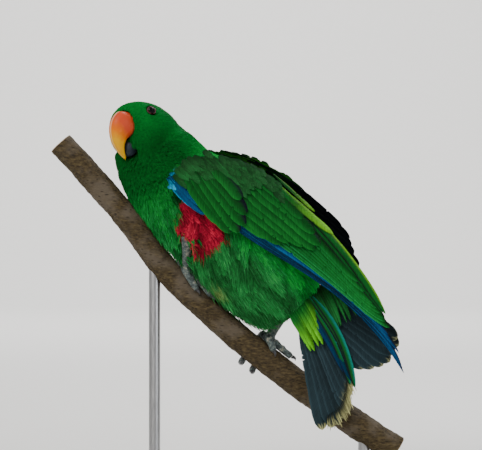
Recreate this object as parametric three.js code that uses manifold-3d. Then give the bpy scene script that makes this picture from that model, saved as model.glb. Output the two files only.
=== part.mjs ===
// Male eclectus parrot, life size, gripping a cut length of branch on a display stand.
// Millimetres, +Z up. The bird's head is towards -X and its left side towards -Y.
// The origin is the centre of the underside of the stand's base.
import * as THREE from 'three';
import Module from 'manifold-3d';
import { mergeVertices } from 'three/addons/utils/BufferGeometryUtils.js';

const wasm = await Module();
wasm.setup();

// Driving sizes
const GAP = 0.3; // between pieces that touch
const FEATHER_GAP = 0.6; // between feathered parts and what they lie on
const BASE = { length: 250, width: 150, thick: 12, corner: 16, bevel: 1.5 };
const ROD = {
  radius: 5, flange: 12, flangeThick: 3, flangeEdge: 1, frontX: -70, rearX: 112, uncutTop: 300,
};
const ROD_CUT = { steps: 40, top: 400, deep: 40 }; // block over the branch that ends the rods
const BRANCH = { upperRadius: 11.6, lowerRadius: 13.2, rings: 22, sides: 12 };
const EYE = {
  back: 34, side: 14, height: 328, radius: 4.7, lid: 3.9, lidThick: 0.9, lidOut: 2.9, lidTurn: 0.35,
};
const HEAD = { beakX: -109.1, beakY: -22, turn: 38, power: 0.85 };
const NOSTRIL = { back: 12.4, side: 5.5, height: 326.8, radius: 1 };
const TRUNK_POWER = 0.8;
const TRUNK_RINGS = 25;
const TRUNK_SIDES = 24;
const WING = { x: -55.7, z: 272.3, slope: 43.1, lean: 8, height: 63, drop: 0.72 };
// Degrees up at the tips, mm down at the shoulder and at the rear end of the core
const FAR_WING = { turn: 3.2, lower: [9, 4] };
const TAIL = { x: 62, y: -9, z: 172, fall: 0.12, swing: 0.06 };
const VANE_THICK = 0.8;
const CUT_BLOCK = 700; // wider than the whole model
const PALM_RADIUS = 5.4;
const TOE = { root: 3.5, end: 2.6, pads: 3, rings: 9, sides: 7 };
const CLAW = { root: 2.1, tip: 0.35, length: 9.5 };

// Centre line of the branch, as x and z at y = 0, from its upper to its lower end
const BRANCH_LINE = [
  [-152, 301], [-100, 243.6], [-56.6, 187.1], [-21.8, 154], [16.5, 120.9], [40, 102.7],
  [94.8, 63.5], [140.9, 33.9],
];
const KNOTS = [{ along: 0.33, angle: 70, radius: 6 }, { along: 0.66, angle: 40, radius: 8 }];

// Sections of neck, breast, belly and rump: throat or belly line, nape or back line,
// half width, sideways shift and roll of the back towards -Y in degrees
const TRUNK = [
  { low: [-94, 298], high: [-66.5, 324], half: 12, side: 10, roll: 0 },
  { low: [-106, 292], high: [-51.8, 319.6], half: 18, side: 13, roll: 0 },
  { low: [-104.5, 282], high: [-41.6, 312.2], half: 23, side: 11, roll: 1 },
  { low: [-98, 268], high: [-30, 301.4], half: 29, side: 8, roll: 3 },
  { low: [-93, 256], high: [-19, 292.2], half: 34, side: 6, roll: 5 },
  { low: [-79, 237], high: [-3, 285], half: 38, side: 4, roll: 7 },
  { low: [-59, 211.5], high: [17.8, 275], half: 40.5, side: 2, roll: 8 },
  { low: [-38, 188.5], high: [37.4, 260.5], half: 40.5, side: 0, roll: 8 },
  { low: [-15, 166.5], high: [52.8, 242], half: 38, side: -1, roll: 8 },
  { low: [10, 149], high: [65.5, 220.5], half: 33, side: -2, roll: 8 },
  { low: [30, 141], high: [73, 200], half: 25, side: -4, roll: 7 },
  { low: [44, 146], high: [74.5, 188], half: 17, side: -7, roll: 5 },
  { low: [55, 156], high: [73, 176], half: 10, side: -9, roll: 4 },
];

// Sections of the skull in the head's own frame: distance behind the beak's front,
// height of crown and of cheek, half width and sideways shift
const SKULL = [
  { back: 10, crown: 322, cheek: 307, half: 7.5, side: -4 },
  { back: 13.5, crown: 328.5, cheek: 301, half: 13.5, side: -6.5 },
  { back: 18, crown: 333.5, cheek: 296, half: 15.5, side: -5.5 },
  { back: 23, crown: 336.5, cheek: 290, half: 19, side: -3 },
  { back: 29, crown: 337.8, cheek: 283, half: 21.75, side: -0.75 },
  { back: 38, crown: 337.6, cheek: 276, half: 23, side: 0 },
  { back: 49, crown: 334.8, cheek: 274, half: 22.5, side: 0 },
  { back: 60, crown: 328.6, cheek: 277, half: 20, side: 1 },
  { back: 69, crown: 319.4, cheek: 284, half: 14, side: 3 },
];

// Sections of the beak in the head's frame: outer ridge, inner edge, half width
const UPPER_BEAK = [
  { ridge: [24, 327], edge: [27, 309], half: 8.2 },
  { ridge: [10.8, 328.6], edge: [22.5, 306.5], half: 9.6 },
  { ridge: [3.8, 323.8], edge: [19.5, 305], half: 9.4 },
  { ridge: [0.4, 317], edge: [17.5, 303.6], half: 8.8 },
  { ridge: [0.7, 309], edge: [16, 301], half: 7.6 },
  { ridge: [3.1, 302], edge: [15.2, 297.6], half: 6.2 },
  { ridge: [7.1, 296], edge: [15.4, 294.3], half: 4.8 },
  { ridge: [12, 291], edge: [16.6, 291], half: 3.1 },
  { ridge: [16.3, 287.2], edge: [18, 288.4], half: 1.5 },
];
const UPPER_BEAK_TIP = [18.3, 285.9];
const LOWER_BEAK = [
  { ridge: [35, 299], edge: [26.5, 306.5], half: 8 },
  { ridge: [31, 293], edge: [21.5, 304], half: 9.2 },
  { ridge: [27, 289.4], edge: [18.6, 300], half: 8.8 },
  { ridge: [23, 288.4], edge: [17.6, 296], half: 7.2 },
  { ridge: [20.3, 288.6], edge: [17.8, 292.4], half: 4.6 },
];
const LOWER_BEAK_TIP = [18.4, 290];

// Surface colours, with roughness
const COLOURS = {
  head: [0x0b6b2a, 0.75], body: [0x0f6e30, 0.8], wing: [0x1d7a35, 0.7], tail: [0x27343a, 0.65],
  coverts: [0x6fae14, 0.75], beakUpper: [0xe08a2a, 0.35], beakLower: [0x2c3038, 0.4],
  eye: [0x160a08, 0.1], foot: [0x77777a, 0.7], claw: [0x26262a, 0.4], bark: [0x5b4433, 0.9],
  base: [0xd9d6cf, 0.5], rod: [0xb9b9bb, 0.3],
};

const vec = (x, y, z) => new THREE.Vector3(x, y, z);
const rad = THREE.MathUtils.degToRad;
const lerp = THREE.MathUtils.lerp;
const signedPower = (value, power) => Math.sign(value) * Math.abs(value) ** power;

// A closed mesh as a solid, turned outside out where its faces point in
function toSolid(geometry) {
  const bare = geometry.clone();
  bare.deleteAttribute('normal');
  bare.deleteAttribute('uv');
  const merged = mergeVertices(bare, 1e-4);
  const vertProperties = new Float32Array(merged.attributes.position.array);
  const triVerts = new Uint32Array(merged.index.array);
  const make = () => new wasm.Manifold(new wasm.Mesh({ numProp: 3, vertProperties, triVerts }));
  const first = make();
  if (first.volume() >= 0) return first;
  for (let i = 0; i < triVerts.length; i += 3) {
    [triVerts[i], triVerts[i + 1]] = [triVerts[i + 1], triVerts[i]];
  }
  return make();
}

const largest = (solid) => solid.decompose().sort((a, b) => b.volume() - a.volume())[0];

function toGeometry(solid) {
  const mesh = largest(solid).getMesh();
  const geometry = new THREE.BufferGeometry();
  geometry.setAttribute('position', new THREE.BufferAttribute(mesh.vertProperties, 3));
  geometry.setIndex(new THREE.BufferAttribute(mesh.triVerts, 1));
  geometry.computeVertexNormals();
  return geometry;
}

const unite = (solids) => solids.reduce((all, next) => all.add(next));
const cutAway = (solid, tools) => tools.reduce((left, tool) => left.subtract(tool), solid);

const middleOf = (ring) => (
  ring.reduce((sum, point) => sum.add(point), vec(0, 0, 0)).divideScalar(ring.length));

// A closed skin over rings of points; an end is a flat cap round its middle or a single tip
function skin(rings, tip = null) {
  const points = rings.flat();
  const count = rings[0].length;
  const index = [];
  for (let r = 0; r + 1 < rings.length; r += 1) {
    for (let k = 0; k < count; k += 1) {
      const a = r * count + k;
      const b = r * count + ((k + 1) % count);
      index.push(a, b, b + count, a, b + count, a + count);
    }
  }
  const first = points.push(middleOf(rings[0])) - 1;
  const last = points.push(tip ?? middleOf(rings.at(-1))) - 1;
  const start = (rings.length - 1) * count;
  for (let k = 0; k < count; k += 1) {
    const next = (k + 1) % count;
    index.push(first, next, k, last, start + k, start + next);
  }
  return toSolid(new THREE.BufferGeometry().setFromPoints(points).setIndex(index));
}

// A rounded ring from a middle point, its reach up, down and across
function roundRing(middle, up, down, across, sides, power) {
  return Array.from({ length: sides }, (_, k) => {
    const angle = (2 * Math.PI * k) / sides;
    const height = Math.sin(angle) >= 0 ? up : down;
    return middle.clone()
      .addScaledVector(across, signedPower(Math.cos(angle), power))
      .addScaledVector(height, Math.abs(Math.sin(angle)) ** power);
  });
}

// Everything on one side of a plane through two points of the middle plane
function sideOf(a, b, keepLeft) {
  const along = Math.atan2(b[1] - a[1], b[0] - a[0]);
  const box = new THREE.BoxGeometry(CUT_BLOCK, CUT_BLOCK, CUT_BLOCK);
  box.translate(0, 0, (keepLeft ? 1 : -1) * (CUT_BLOCK / 2 + GAP / 2));
  box.rotateY(-along);
  box.translate((a[0] + b[0]) / 2, 0, (a[1] + b[1]) / 2);
  return toSolid(box);
}

// Branch: its centre line, a frame at any point of it and the wood itself
const branchCurve = new THREE.CatmullRomCurve3(BRANCH_LINE.map(([x, z]) => vec(x, 0, z)));

function branchFrame(along) {
  const middle = branchCurve.getPointAt(along);
  const down = branchCurve.getTangentAt(along);
  return { middle, down, up: vec(-down.z, 0, down.x) };
}

const branchRadius = (along) => lerp(BRANCH.upperRadius, BRANCH.lowerRadius, along);

// A point over the bark: angle from the upper edge towards -Y, rise above the surface
function onBranch(along, angle, rise) {
  const { middle, up } = branchFrame(along);
  const reach = branchRadius(along) + rise;
  return middle.addScaledVector(up, reach * Math.cos(rad(angle)))
    .add(vec(0, -reach * Math.sin(rad(angle)), 0));
}

// The direction out of the branch at a point near it
function outOfBranch(place) {
  const near = Array.from({ length: 101 }, (_, k) => branchCurve.getPointAt(k / 100))
    .sort((a, b) => a.distanceToSquared(place) - b.distanceToSquared(place))[0];
  return place.clone().sub(near).normalize();
}

function branchSolid(grow) {
  const rings = Array.from({ length: BRANCH.rings }, (_, r) => {
    const along = r / (BRANCH.rings - 1);
    return Array.from({ length: BRANCH.sides }, (__, k) => {
      const angle = (360 * k) / BRANCH.sides;
      const wave = 0.35 * Math.sin(along * 31 + k * 1.7) + 0.25 * Math.sin(along * 57 - k * 0.9);
      return onBranch(along, angle, wave - 0.4 + grow);
    });
  });
  return skin(rings);
}

function knotSolid({ along, angle, radius }, grow) {
  const ball = new THREE.SphereGeometry(radius + grow, 10, 7);
  ball.scale(1, 1, 0.8);
  const place = onBranch(along, angle, 1.2 - radius * 0.8);
  return toSolid(ball.translate(place.x, place.y, place.z));
}

// Trunk: neck, breast, belly and rump as one skin
const trunkSpine = {
  low: new THREE.CatmullRomCurve3(TRUNK.map(({ low }) => vec(low[0], 0, low[1]))),
  high: new THREE.CatmullRomCurve3(TRUNK.map(({ high }) => vec(high[0], 0, high[1]))),
  shape: new THREE.CatmullRomCurve3(TRUNK.map(({ half, side, roll }) => vec(half, side, roll))),
};

function trunkRing(along, grow) {
  const low = trunkSpine.low.getPoint(along);
  const high = trunkSpine.high.getPoint(along);
  const { x: half, y: side, z: roll } = trunkSpine.shape.getPoint(along);
  const chord = high.clone().sub(low);
  const lean = Math.tan(rad(roll)) * chord.length() / 2;
  low.y = side + lean;
  high.y = side - lean;
  const middle = low.clone().lerp(high, 0.5);
  const up = high.sub(middle);
  up.setLength(up.length() + grow);
  const across = vec(0, -1, 0).addScaledVector(up.clone().normalize(), -Math.sin(rad(roll)));
  return roundRing(
    middle, up, up.clone().negate(), across.setLength(half + grow), TRUNK_SIDES, TRUNK_POWER,
  );
}

function trunkSolid(grow) {
  const rings = Array.from({ length: TRUNK_RINGS }, (_, r) => trunkRing(r / (TRUNK_RINGS - 1), grow));
  if (grow > 0) {
    const end = rings.at(-1);
    const past = middleOf(end).sub(middleOf(rings.at(-2))).setLength(grow);
    rings.push(end.map((point) => point.clone().add(past)));
  }
  return skin(rings);
}

// Head: a point from its distance behind the beak, its height and its sideways place
const headBack = vec(Math.cos(rad(HEAD.turn)), Math.sin(rad(HEAD.turn)), 0);
const headSide = vec(Math.sin(rad(HEAD.turn)), -Math.cos(rad(HEAD.turn)), 0);

function onHead(back, height, side = 0) {
  return vec(HEAD.beakX, HEAD.beakY, height)
    .addScaledVector(headBack, back).addScaledVector(headSide, side);
}

function skullSolid() {
  const widest = 0.42;
  const rings = SKULL.map(({ back, crown, cheek, half, side }) => {
    const middle = onHead(back, lerp(cheek, crown, widest), side);
    return roundRing(
      middle, onHead(back, crown, side).sub(middle), onHead(back, cheek, side).sub(middle),
      headSide.clone().setLength(half), TRUNK_SIDES, HEAD.power,
    );
  });
  return skin(rings);
}

function beakSolid(sections, tip, grow) {
  const sides = 12;
  const widest = 0.3;
  const rings = sections.map(({ ridge, edge, half }) => {
    const inner = onHead(...edge);
    const outer = onHead(...ridge);
    const middle = inner.clone().lerp(outer, widest);
    const up = outer.sub(middle);
    const down = inner.sub(middle);
    up.setLength(up.length() + grow);
    down.setLength(down.length() + grow);
    return roundRing(middle, up, down, headSide.clone().setLength(half + grow), sides, 0.9);
  });
  return skin(rings, onHead(tip[0], tip[1] - grow));
}

const eyeMiddle = (mirror) => onHead(EYE.back, EYE.height, mirror * EYE.side);

function eyeSolid(mirror, grow) {
  const ball = new THREE.SphereGeometry(EYE.radius + grow, 12, 7);
  const { x, y, z } = eyeMiddle(mirror);
  return toSolid(ball.translate(x, y, z));
}

// Lids: a soft ring round the eye, sunk in the side of the head
function lidSolid(mirror) {
  const ring = new THREE.TorusGeometry(EYE.lid, EYE.lidThick, 6, 14);
  const out = headSide.clone().multiplyScalar(mirror).add(vec(0, 0, EYE.lidTurn)).normalize();
  ring.applyQuaternion(new THREE.Quaternion().setFromUnitVectors(vec(0, 0, 1), out));
  const place = eyeMiddle(mirror).addScaledVector(out, EYE.lidOut);
  return toSolid(ring.translate(place.x, place.y, place.z));
}

function nostrilSolid(mirror) {
  const pit = new THREE.SphereGeometry(NOSTRIL.radius, 8, 6);
  const { x, y, z } = onHead(NOSTRIL.back, NOSTRIL.height, mirror * NOSTRIL.side);
  return toSolid(pit.translate(x, y, z));
}

// Wing sheet: a point and its outward normal from the distance along the wing,
// the height above its line and the lift off the body; mirror -1 is the far wing
const wingHalf = new THREE.CatmullRomCurve3([
  vec(-10, 32, 0), vec(0, 35.5, 0), vec(20, 39.5, 0), vec(50, 41.5, 0), vec(90, 41, 0),
  vec(130, 37.5, 0), vec(170, 31.5, 0), vec(210, 24.5, 0), vec(265, 15, 0),
]);
const wingAlong = vec(Math.cos(rad(WING.slope)), 0, -Math.sin(rad(WING.slope)));
const wingUp = vec(Math.sin(rad(WING.slope)), 0, Math.cos(rad(WING.slope)));
const wingRoot = vec(WING.x, 0, WING.z);
const bodySide = wingUp.clone().multiplyScalar(-Math.sin(rad(WING.lean)))
  .add(vec(0, -Math.cos(rad(WING.lean)), 0));

function halfWidthAt(distance) {
  const points = wingHalf.points;
  const next = Math.min(points.length - 1, Math.max(1, points.findIndex(({ x }) => x > distance)));
  const [a, b] = [points[next - 1], points[next]];
  return lerp(a.y, b.y, (distance - a.x) / (b.x - a.x));
}

function wingPoint(distance, height, mirror) {
  const depth = halfWidthAt(distance) * (1 - WING.drop * (height / WING.height) ** 2)
    + height * Math.sin(rad(WING.lean));
  const place = wingRoot.clone().addScaledVector(wingAlong, distance)
    .addScaledVector(wingUp, height).add(vec(0, -depth, 0));
  if (mirror > 0) return place;
  const across = place.clone().sub(wingRoot).dot(bodySide);
  place.addScaledVector(bodySide, -2 * across);
  return place.sub(wingRoot).applyAxisAngle(vec(0, 1, 0), -rad(FAR_WING.turn)).add(wingRoot);
}

function wingSheet(mirror) {
  return (distance, height, lift) => {
    const step = 0.5;
    const place = wingPoint(distance, height, mirror);
    const along = wingPoint(distance + step, height, mirror).sub(place);
    const upward = wingPoint(distance, height + step, mirror).sub(place);
    const out = along.cross(upward).setLength(mirror);
    return place.addScaledVector(out, lift);
  };
}

// Feathers: share of the full width at rings along a vane, which ends in a point
const VANE_RINGS = [
  { at: 0, share: 0.4 }, { at: 0.3, share: 0.86 }, { at: 0.62, share: 1 },
  { at: 0.87, share: 0.86 }, { at: 0.965, share: 0.5 },
];

// A repeatable number from -0.5 to 0.5 for each seed
function wobble(seed) {
  const wave = Math.sin(seed * 12.9898) * 43758.5453;
  return wave - Math.floor(wave) - 0.5;
}

// A closed vane over rings of top and bottom points; both faces are split the same way
function vaneSkin(rings, tip) {
  const points = rings.flatMap(({ top, bottom }) => [...top, ...bottom]);
  const end = points.push(tip) - 1;
  const [topA, topB, lowA, lowB] = [0, 1, 2, 3];
  const next = 4;
  const index = [];
  for (let r = 0; r + 1 < rings.length; r += 1) {
    const [a, b, c, d] = [topA, topB, lowA, lowB].map((corner) => r * next + corner);
    index.push(a, b, b + next, a, b + next, a + next);
    index.push(c, d + next, d, c, c + next, d + next);
    index.push(b, d, d + next, b, d + next, b + next);
    index.push(c, a, a + next, c, a + next, c + next);
  }
  const last = (rings.length - 1) * next;
  index.push(topA, lowA, lowB, topA, lowB, topB);
  index.push(last, last + topB, end, last + lowA, end, last + lowB);
  index.push(last + topB, last + lowB, end, last + lowA, last, end);
  return toSolid(new THREE.BufferGeometry().setFromPoints(points).setIndex(index));
}

// One vane on a sheet. Tilt lifts its lower edge over the vane below and tucks its upper edge
// under the vane above; bow curves it towards its upper edge.
function vaneSolid(sheet, { root, tip, width, rootLift, tipLift, tilt, bow }) {
  const span = [tip[0] - root[0], tip[1] - root[1]];
  const length = Math.hypot(...span);
  const side = [-span[1] / length, span[0] / length];
  const place = (at) => [0, 1].map((i) => (
    lerp(root[i], tip[i], at) + side[i] * bow * Math.sin(Math.PI * at)));
  const rings = VANE_RINGS.map(({ at, share }) => {
    const middle = place(at);
    const edge = (sign, depth) => sheet(
      middle[0] + sign * side[0] * share * width / 2, middle[1] + sign * side[1] * share * width / 2,
      lerp(rootLift, tipLift, at) - sign * tilt * share / 2 - depth,
    );
    return {
      top: [edge(-1, 0), edge(1, 0)], bottom: [edge(-1, VANE_THICK), edge(1, VANE_THICK)],
    };
  });
  return vaneSkin(rings, sheet(...tip, tipLift - VANE_THICK / 2));
}

// A row of vanes: roots, tips, widths and lifts run from the first feather to the last
function tierVanes(sheet, { count, roots, tips, width, rootLift, tipLift, tilt, bow, seed }) {
  const line = (points) => new THREE.CatmullRomCurve3(points.map(([x, y]) => vec(x, y, 0)));
  const [rootLine, tipLine] = [line(roots), line(tips)];
  return Array.from({ length: count }, (_, i) => {
    const t = i / (count - 1);
    const root = rootLine.getPoint(t);
    const tip = tipLine.getPoint(t);
    return vaneSolid(sheet, {
      root: [root.x, root.y], tip: [tip.x + 3 * wobble(seed + i), tip.y + wobble(seed - i)],
      width: lerp(...width, t), rootLift: lerp(...rootLift, t), tipLift: lerp(...tipLift, t),
      tilt: lerp(...tilt, t), bow: lerp(...bow, t),
    });
  });
}

// Wings: a smooth core at the shoulder, and tiers of vanes as distance along the wing and
// height above its line, each from its lowest or outermost feather to its uppermost
const WING_CORE = [
  { at: -6, low: 1, high: 9, thick: 4 }, { at: 0, low: -3, high: 21, thick: 6 },
  { at: 10, low: -5, high: 35, thick: 6.6 }, { at: 28, low: -6, high: 46, thick: 6.2 },
  { at: 50, low: -4, high: 53, thick: 5.2 }, { at: 80, low: 3, high: 56, thick: 3.6 },
  { at: 108, low: 11, high: 54, thick: 2 },
];
const NEAR_TIERS = [
  { count: 8, roots: [[32, 1], [62, 9]], tips: [[262, 12.5], [250, 17], [226, 20.5], [196, 24]],
    width: [9, 12], rootLift: [1.6, 2.4], tipLift: [0.6, 1.8], tilt: [1.4, 1.8], bow: [13, 9],
    seed: 3 },
  { count: 9, roots: [[48, 9], [60, 50]], tips: [[212, 27], [226, 33], [196, 45], [156, 53]],
    width: [13, 14], rootLift: [2.2, 3.4], tipLift: [2, 4.4], tilt: [2.2, 2.2], bow: [7, 4],
    seed: 17 },
  { count: 7, roots: [[30, 3], [42, 46]], tips: [[98, 10], [112, 30], [128, 52]],
    width: [14, 15], rootLift: [4.4, 4.6], tipLift: [4.8, 6], tilt: [2.2, 2.2], bow: [1, 3],
    seed: 31 },
  { count: 6, roots: [[10, 1], [22, 40]], tips: [[78, 1], [70, 18], [74, 34], [86, 50]],
    width: [14, 15], rootLift: [5.2, 5.6], tipLift: [6.6, 7.2], tilt: [2, 2], bow: [0, 2],
    seed: 47 },
  { count: 3, roots: [[2, 2], [8, 4]], tips: [[50, -5], [62, -4], [70, -2.5]],
    width: [6, 7], rootLift: [4.6, 5], tipLift: [5, 5.8], tilt: [1, 1], bow: [-2, -1], seed: 59 },
];
const FAR_TIERS = [
  { count: 6, roots: [[32, -1], [60, 8]], tips: [[248, 2], [228, 8], [205, 14]],
    width: [9, 12], rootLift: [1.6, 2.4], tipLift: [0.6, 1.8], tilt: [1.4, 1.8], bow: [8, 6],
    seed: 5 },
  { count: 7, roots: [[48, 9], [60, 47]], tips: [[196, 20], [190, 33], [169, 47], [147, 53]],
    width: [14, 15], rootLift: [2.2, 3.4], tipLift: [2, 4], tilt: [2, 2], bow: [5, 3], seed: 19 },
  { count: 6, roots: [[30, 3], [42, 43]], tips: [[98, 10], [110, 28], [120, 50]],
    width: [15, 16], rootLift: [4.4, 4.6], tipLift: [4.8, 6], tilt: [2, 2], bow: [1, 3],
    seed: 37 },
];

function wingCore(sheet, outline) {
  const steps = 6;
  const sink = 3;
  return skin(outline.map(({ at, low, high, thick }) => {
    const heights = Array.from({ length: steps + 1 }, (_, k) => lerp(low, high, k / steps));
    const outer = heights.map((height) => sheet(at, height, thick));
    const inner = heights.map((height) => sheet(at, height, -Math.min(sink, thick - 1))).reverse();
    return [...outer, ...inner];
  }));
}

function wingSolid(mirror, tiers, lower) {
  const sheet = wingSheet(mirror);
  const core = wingCore(sheet, WING_CORE.map((edge, i) => (
    { ...edge, high: edge.high - lerp(...lower, i / (WING_CORE.length - 1)) })));
  return unite([core, ...tiers.flatMap((tier) => tierVanes(sheet, tier))]);
}

// Tail sheet: a flat fan seen from below, nearer to -Y at its lower left
function tailSheet(x, z, lift) {
  const place = vec(x, TAIL.y + TAIL.fall * (z - TAIL.z) + TAIL.swing * (x - TAIL.x), z);
  return place.addScaledVector(vec(TAIL.swing, -1, TAIL.fall).normalize(), lift);
}

// A plain plate on the tail sheet through pairs of edge points, between two lifts at each pair
function tailPlate(outline) {
  const steps = 4;
  return skin(outline.map(({ from, to, top, bottom }) => {
    const line = Array.from({ length: steps + 1 }, (_, k) => [
      lerp(from[0], to[0], k / steps), lerp(from[1], to[1], k / steps)]);
    return [
      ...line.map(([x, z]) => tailSheet(x, z, top)),
      ...line.map(([x, z]) => tailSheet(x, z, bottom)).reverse(),
    ];
  }));
}

// Tail: a pad under the rump for each row of feathers, and vanes as x and z on the tail sheet
const TAIL_PAD = [
  { from: [56, 163], to: [61, 182], top: 1.6, bottom: -1.6 },
  { from: [56, 150], to: [78, 172], top: 2, bottom: -2 },
  { from: [57, 136], to: [90, 158], top: 1, bottom: -1 },
];
const TAIL_TIER = {
  count: 12, roots: [[57, 160], [61, 180]],
  tips: [[76, 52], [90, 60], [99, 82], [112, 104], [131, 111], [141.8, 130]],
  width: [17, 17], rootLift: [0.6, 0.6], tipLift: [0, 0], tilt: [1.5, 1.5], bow: [0, 0], seed: 71,
};
const UNDERTAIL_PAD = [
  { from: [46, 160], to: [64, 178], top: 11, bottom: 4.6 },
  { from: [51, 146], to: [76, 165], top: 8, bottom: 4.6 },
  { from: [57, 137], to: [80, 152], top: 6, bottom: 4.6 },
];
const UNDERTAIL_TIER = {
  count: 6, roots: [[50, 158], [64, 172]], tips: [[61, 127], [68.5, 120], [74.6, 123], [90, 142]],
  width: [10, 11], rootLift: [8, 8], tipLift: [5.4, 5.9], tilt: [1, 1], bow: [0, 0], seed: 83,
};
const UPPERTAIL_PAD = [
  { from: [50, 158], to: [66, 184], top: -4.6, bottom: -11 },
  { from: [56, 144], to: [84, 168], top: -4.6, bottom: -8.5 },
  { from: [62, 134], to: [92, 156], top: -4.6, bottom: -6 },
];
const UPPERTAIL_TIER = {
  count: 5, roots: [[54, 160], [64, 180]], tips: [[72, 116], [84, 112], [96, 124], [106, 142]],
  width: [15, 15], rootLift: [-6, -6], tipLift: [-4.6, -4.6], tilt: [1, 1], bow: [0, 0], seed: 97,
};

const tailRow = (pad, vanes) => unite([tailPlate(pad), ...vanes]);

// A tapered, closed limb through points with a radius at each; upright sets each ring's turn
function limb(path, radii, sides, tip = null, upright = () => vec(0, 1, 0)) {
  const rings = path.map((place, i) => {
    const before = path[Math.max(0, i - 1)];
    const after = path[Math.min(path.length - 1, i + 1)];
    const along = after.clone().sub(before).normalize();
    const across = upright(place).cross(along).normalize();
    const other = along.clone().cross(across);
    return Array.from({ length: sides }, (_, k) => {
      const angle = (2 * Math.PI * k) / sides;
      return place.clone().addScaledVector(across, radii[i] * Math.cos(angle))
        .addScaledVector(other, radii[i] * Math.sin(angle));
    });
  });
  return skin(rings, tip);
}

// Feet: the palm over the bark, and each toe's root and end from it, as millimetres down the
// branch and degrees round it towards -Y
const branchLength = branchCurve.getLength();
const FEET = {
  left: {
    palm: { along: 0.388, angle: 24 },
    ankle: [-41.2, -34.4, 219],
    toes: [
      { from: [-1, 14], to: [20, 36] }, { from: [2, -10], to: [33, 16] },
      { from: [-5, 6], to: [-27, -34] }, { from: [-2, -22], to: [-9, -98] },
    ],
  },
  right: {
    palm: { along: 0.628, angle: 0 },
    ankle: [38, 2, 146],
    toes: [
      { from: [0, 16], to: [10, 47] }, { from: [5, 3], to: [26, 10] },
      { from: [-6, -8], to: [-5, -188] }, { from: [3, -20], to: [7, -180] },
    ],
  },
};

const palmMiddle = ({ palm }) => onBranch(palm.along, palm.angle, PALM_RADIUS * 0.72);

function palmSolid(foot, grow) {
  const ball = new THREE.SphereGeometry(PALM_RADIUS + grow, 12, 8);
  const { x, y, z } = palmMiddle(foot);
  return toSolid(ball.translate(x, y, z));
}

function tarsusSolid(foot, grow) {
  const end = palmMiddle(foot);
  const start = vec(...foot.ankle);
  const path = [0, 0.5, 1].map((t) => start.clone().lerp(end, t));
  return limb(path, [4.6, 4, 4.2].map((r) => r + grow), 10);
}

// A point on the way from a toe's root to its end, t from 0 to 1 and a little beyond
function toePoint({ palm }, { from, to }, t, rise) {
  const [along, turn] = [0, 1].map((i) => lerp(from[i], to[i], t));
  return onBranch(palm.along + along / branchLength, palm.angle + turn, rise);
}

function toeParts(foot, toe, grow = 0) {
  const [along, turn] = [0, 1].map((i) => toe.to[i] - toe.from[i]);
  const reach = Math.hypot(along, rad(turn) * (BRANCH.upperRadius + TOE.end));
  const beyond = (mm) => 1 + mm / reach;
  const ts = Array.from({ length: TOE.rings }, (_, r) => r / (TOE.rings - 1));
  const radii = ts.map((t) => lerp(TOE.root, TOE.end, t)
    * (1 + 0.09 * Math.cos(2 * Math.PI * (t * TOE.pads + 0.5))));
  const path = ts.map((t, r) => (
    toePoint(foot, toe, lerp(1 - beyond(grow), beyond(grow), t), radii[r] + GAP)));
  const clawTs = [0, 0.25, 0.5, 0.75];
  const clawPath = clawTs.map((t) => toePoint(
    foot, toe, beyond(0.6 * CLAW.length * t), TOE.end + GAP + 1.1 * Math.sin(Math.PI * t),
  ));
  const clawRadii = clawTs.map((t) => lerp(CLAW.root, CLAW.tip, t ** 1.3));
  const clawTip = toePoint(foot, toe, beyond(0.62 * CLAW.length), 0.5);
  return {
    toe: limb(path, radii.map((r) => r + grow), TOE.sides, null, outOfBranch),
    claw: limb(clawPath, clawRadii.map((r) => r + grow), 6, clawTip, outOfBranch),
  };
}

// Thighs: feathered drums from the belly down to each ankle
const THIGHS = {
  left: { hip: [-22, -22, 240], knee: [-43, -35.6, 216], radii: [15, 7.2] },
  right: { hip: [26, 12, 186], knee: [37, 2, 149], radii: [15, 6.5] },
};

function thighSolid({ hip, knee, radii }, grow) {
  const steps = 5;
  const path = Array.from({ length: steps }, (_, k) => (
    vec(...hip).lerp(vec(...knee), k / (steps - 1))));
  return limb(path, path.map((_, k) => grow + lerp(radii[0], radii[1], k / (steps - 1))
    * (k === 0 ? 0.7 : 1)), 12);
}

function roundedBase() {
  const { length, width, thick, corner, bevel } = BASE;
  const [x, y] = [length / 2 - bevel, width / 2 - bevel];
  const outline = new THREE.Shape();
  outline.moveTo(-x + corner, -y);
  outline.lineTo(x - corner, -y).absarc(x - corner, -y + corner, corner, -Math.PI / 2, 0);
  outline.absarc(x - corner, y - corner, corner, 0, Math.PI / 2);
  outline.absarc(-x + corner, y - corner, corner, Math.PI / 2, Math.PI);
  outline.absarc(-x + corner, -y + corner, corner, Math.PI, 1.5 * Math.PI);
  const slab = new THREE.ExtrudeGeometry(outline, {
    depth: thick - 2 * bevel, bevelSize: bevel, bevelThickness: bevel, bevelSegments: 1,
    curveSegments: 3,
  });
  return toSolid(slab.translate(0, 0, bevel));
}

function rodSolid(x) {
  const foot = BASE.thick + GAP;
  const shoulder = foot + ROD.flangeThick;
  const profile = [
    [0, foot], [ROD.flange, foot], [ROD.flange, shoulder - ROD.flangeEdge],
    [ROD.flange - ROD.flangeEdge, shoulder], [ROD.radius, shoulder],
    [ROD.radius, ROD.uncutTop], [0, ROD.uncutTop],
  ].map(([r, z]) => new THREE.Vector2(r, z));
  const rod = new THREE.LatheGeometry(profile, 16);
  rod.rotateX(Math.PI / 2);
  rod.translate(x, 0, 0);
  return toSolid(rod);
}

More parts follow.
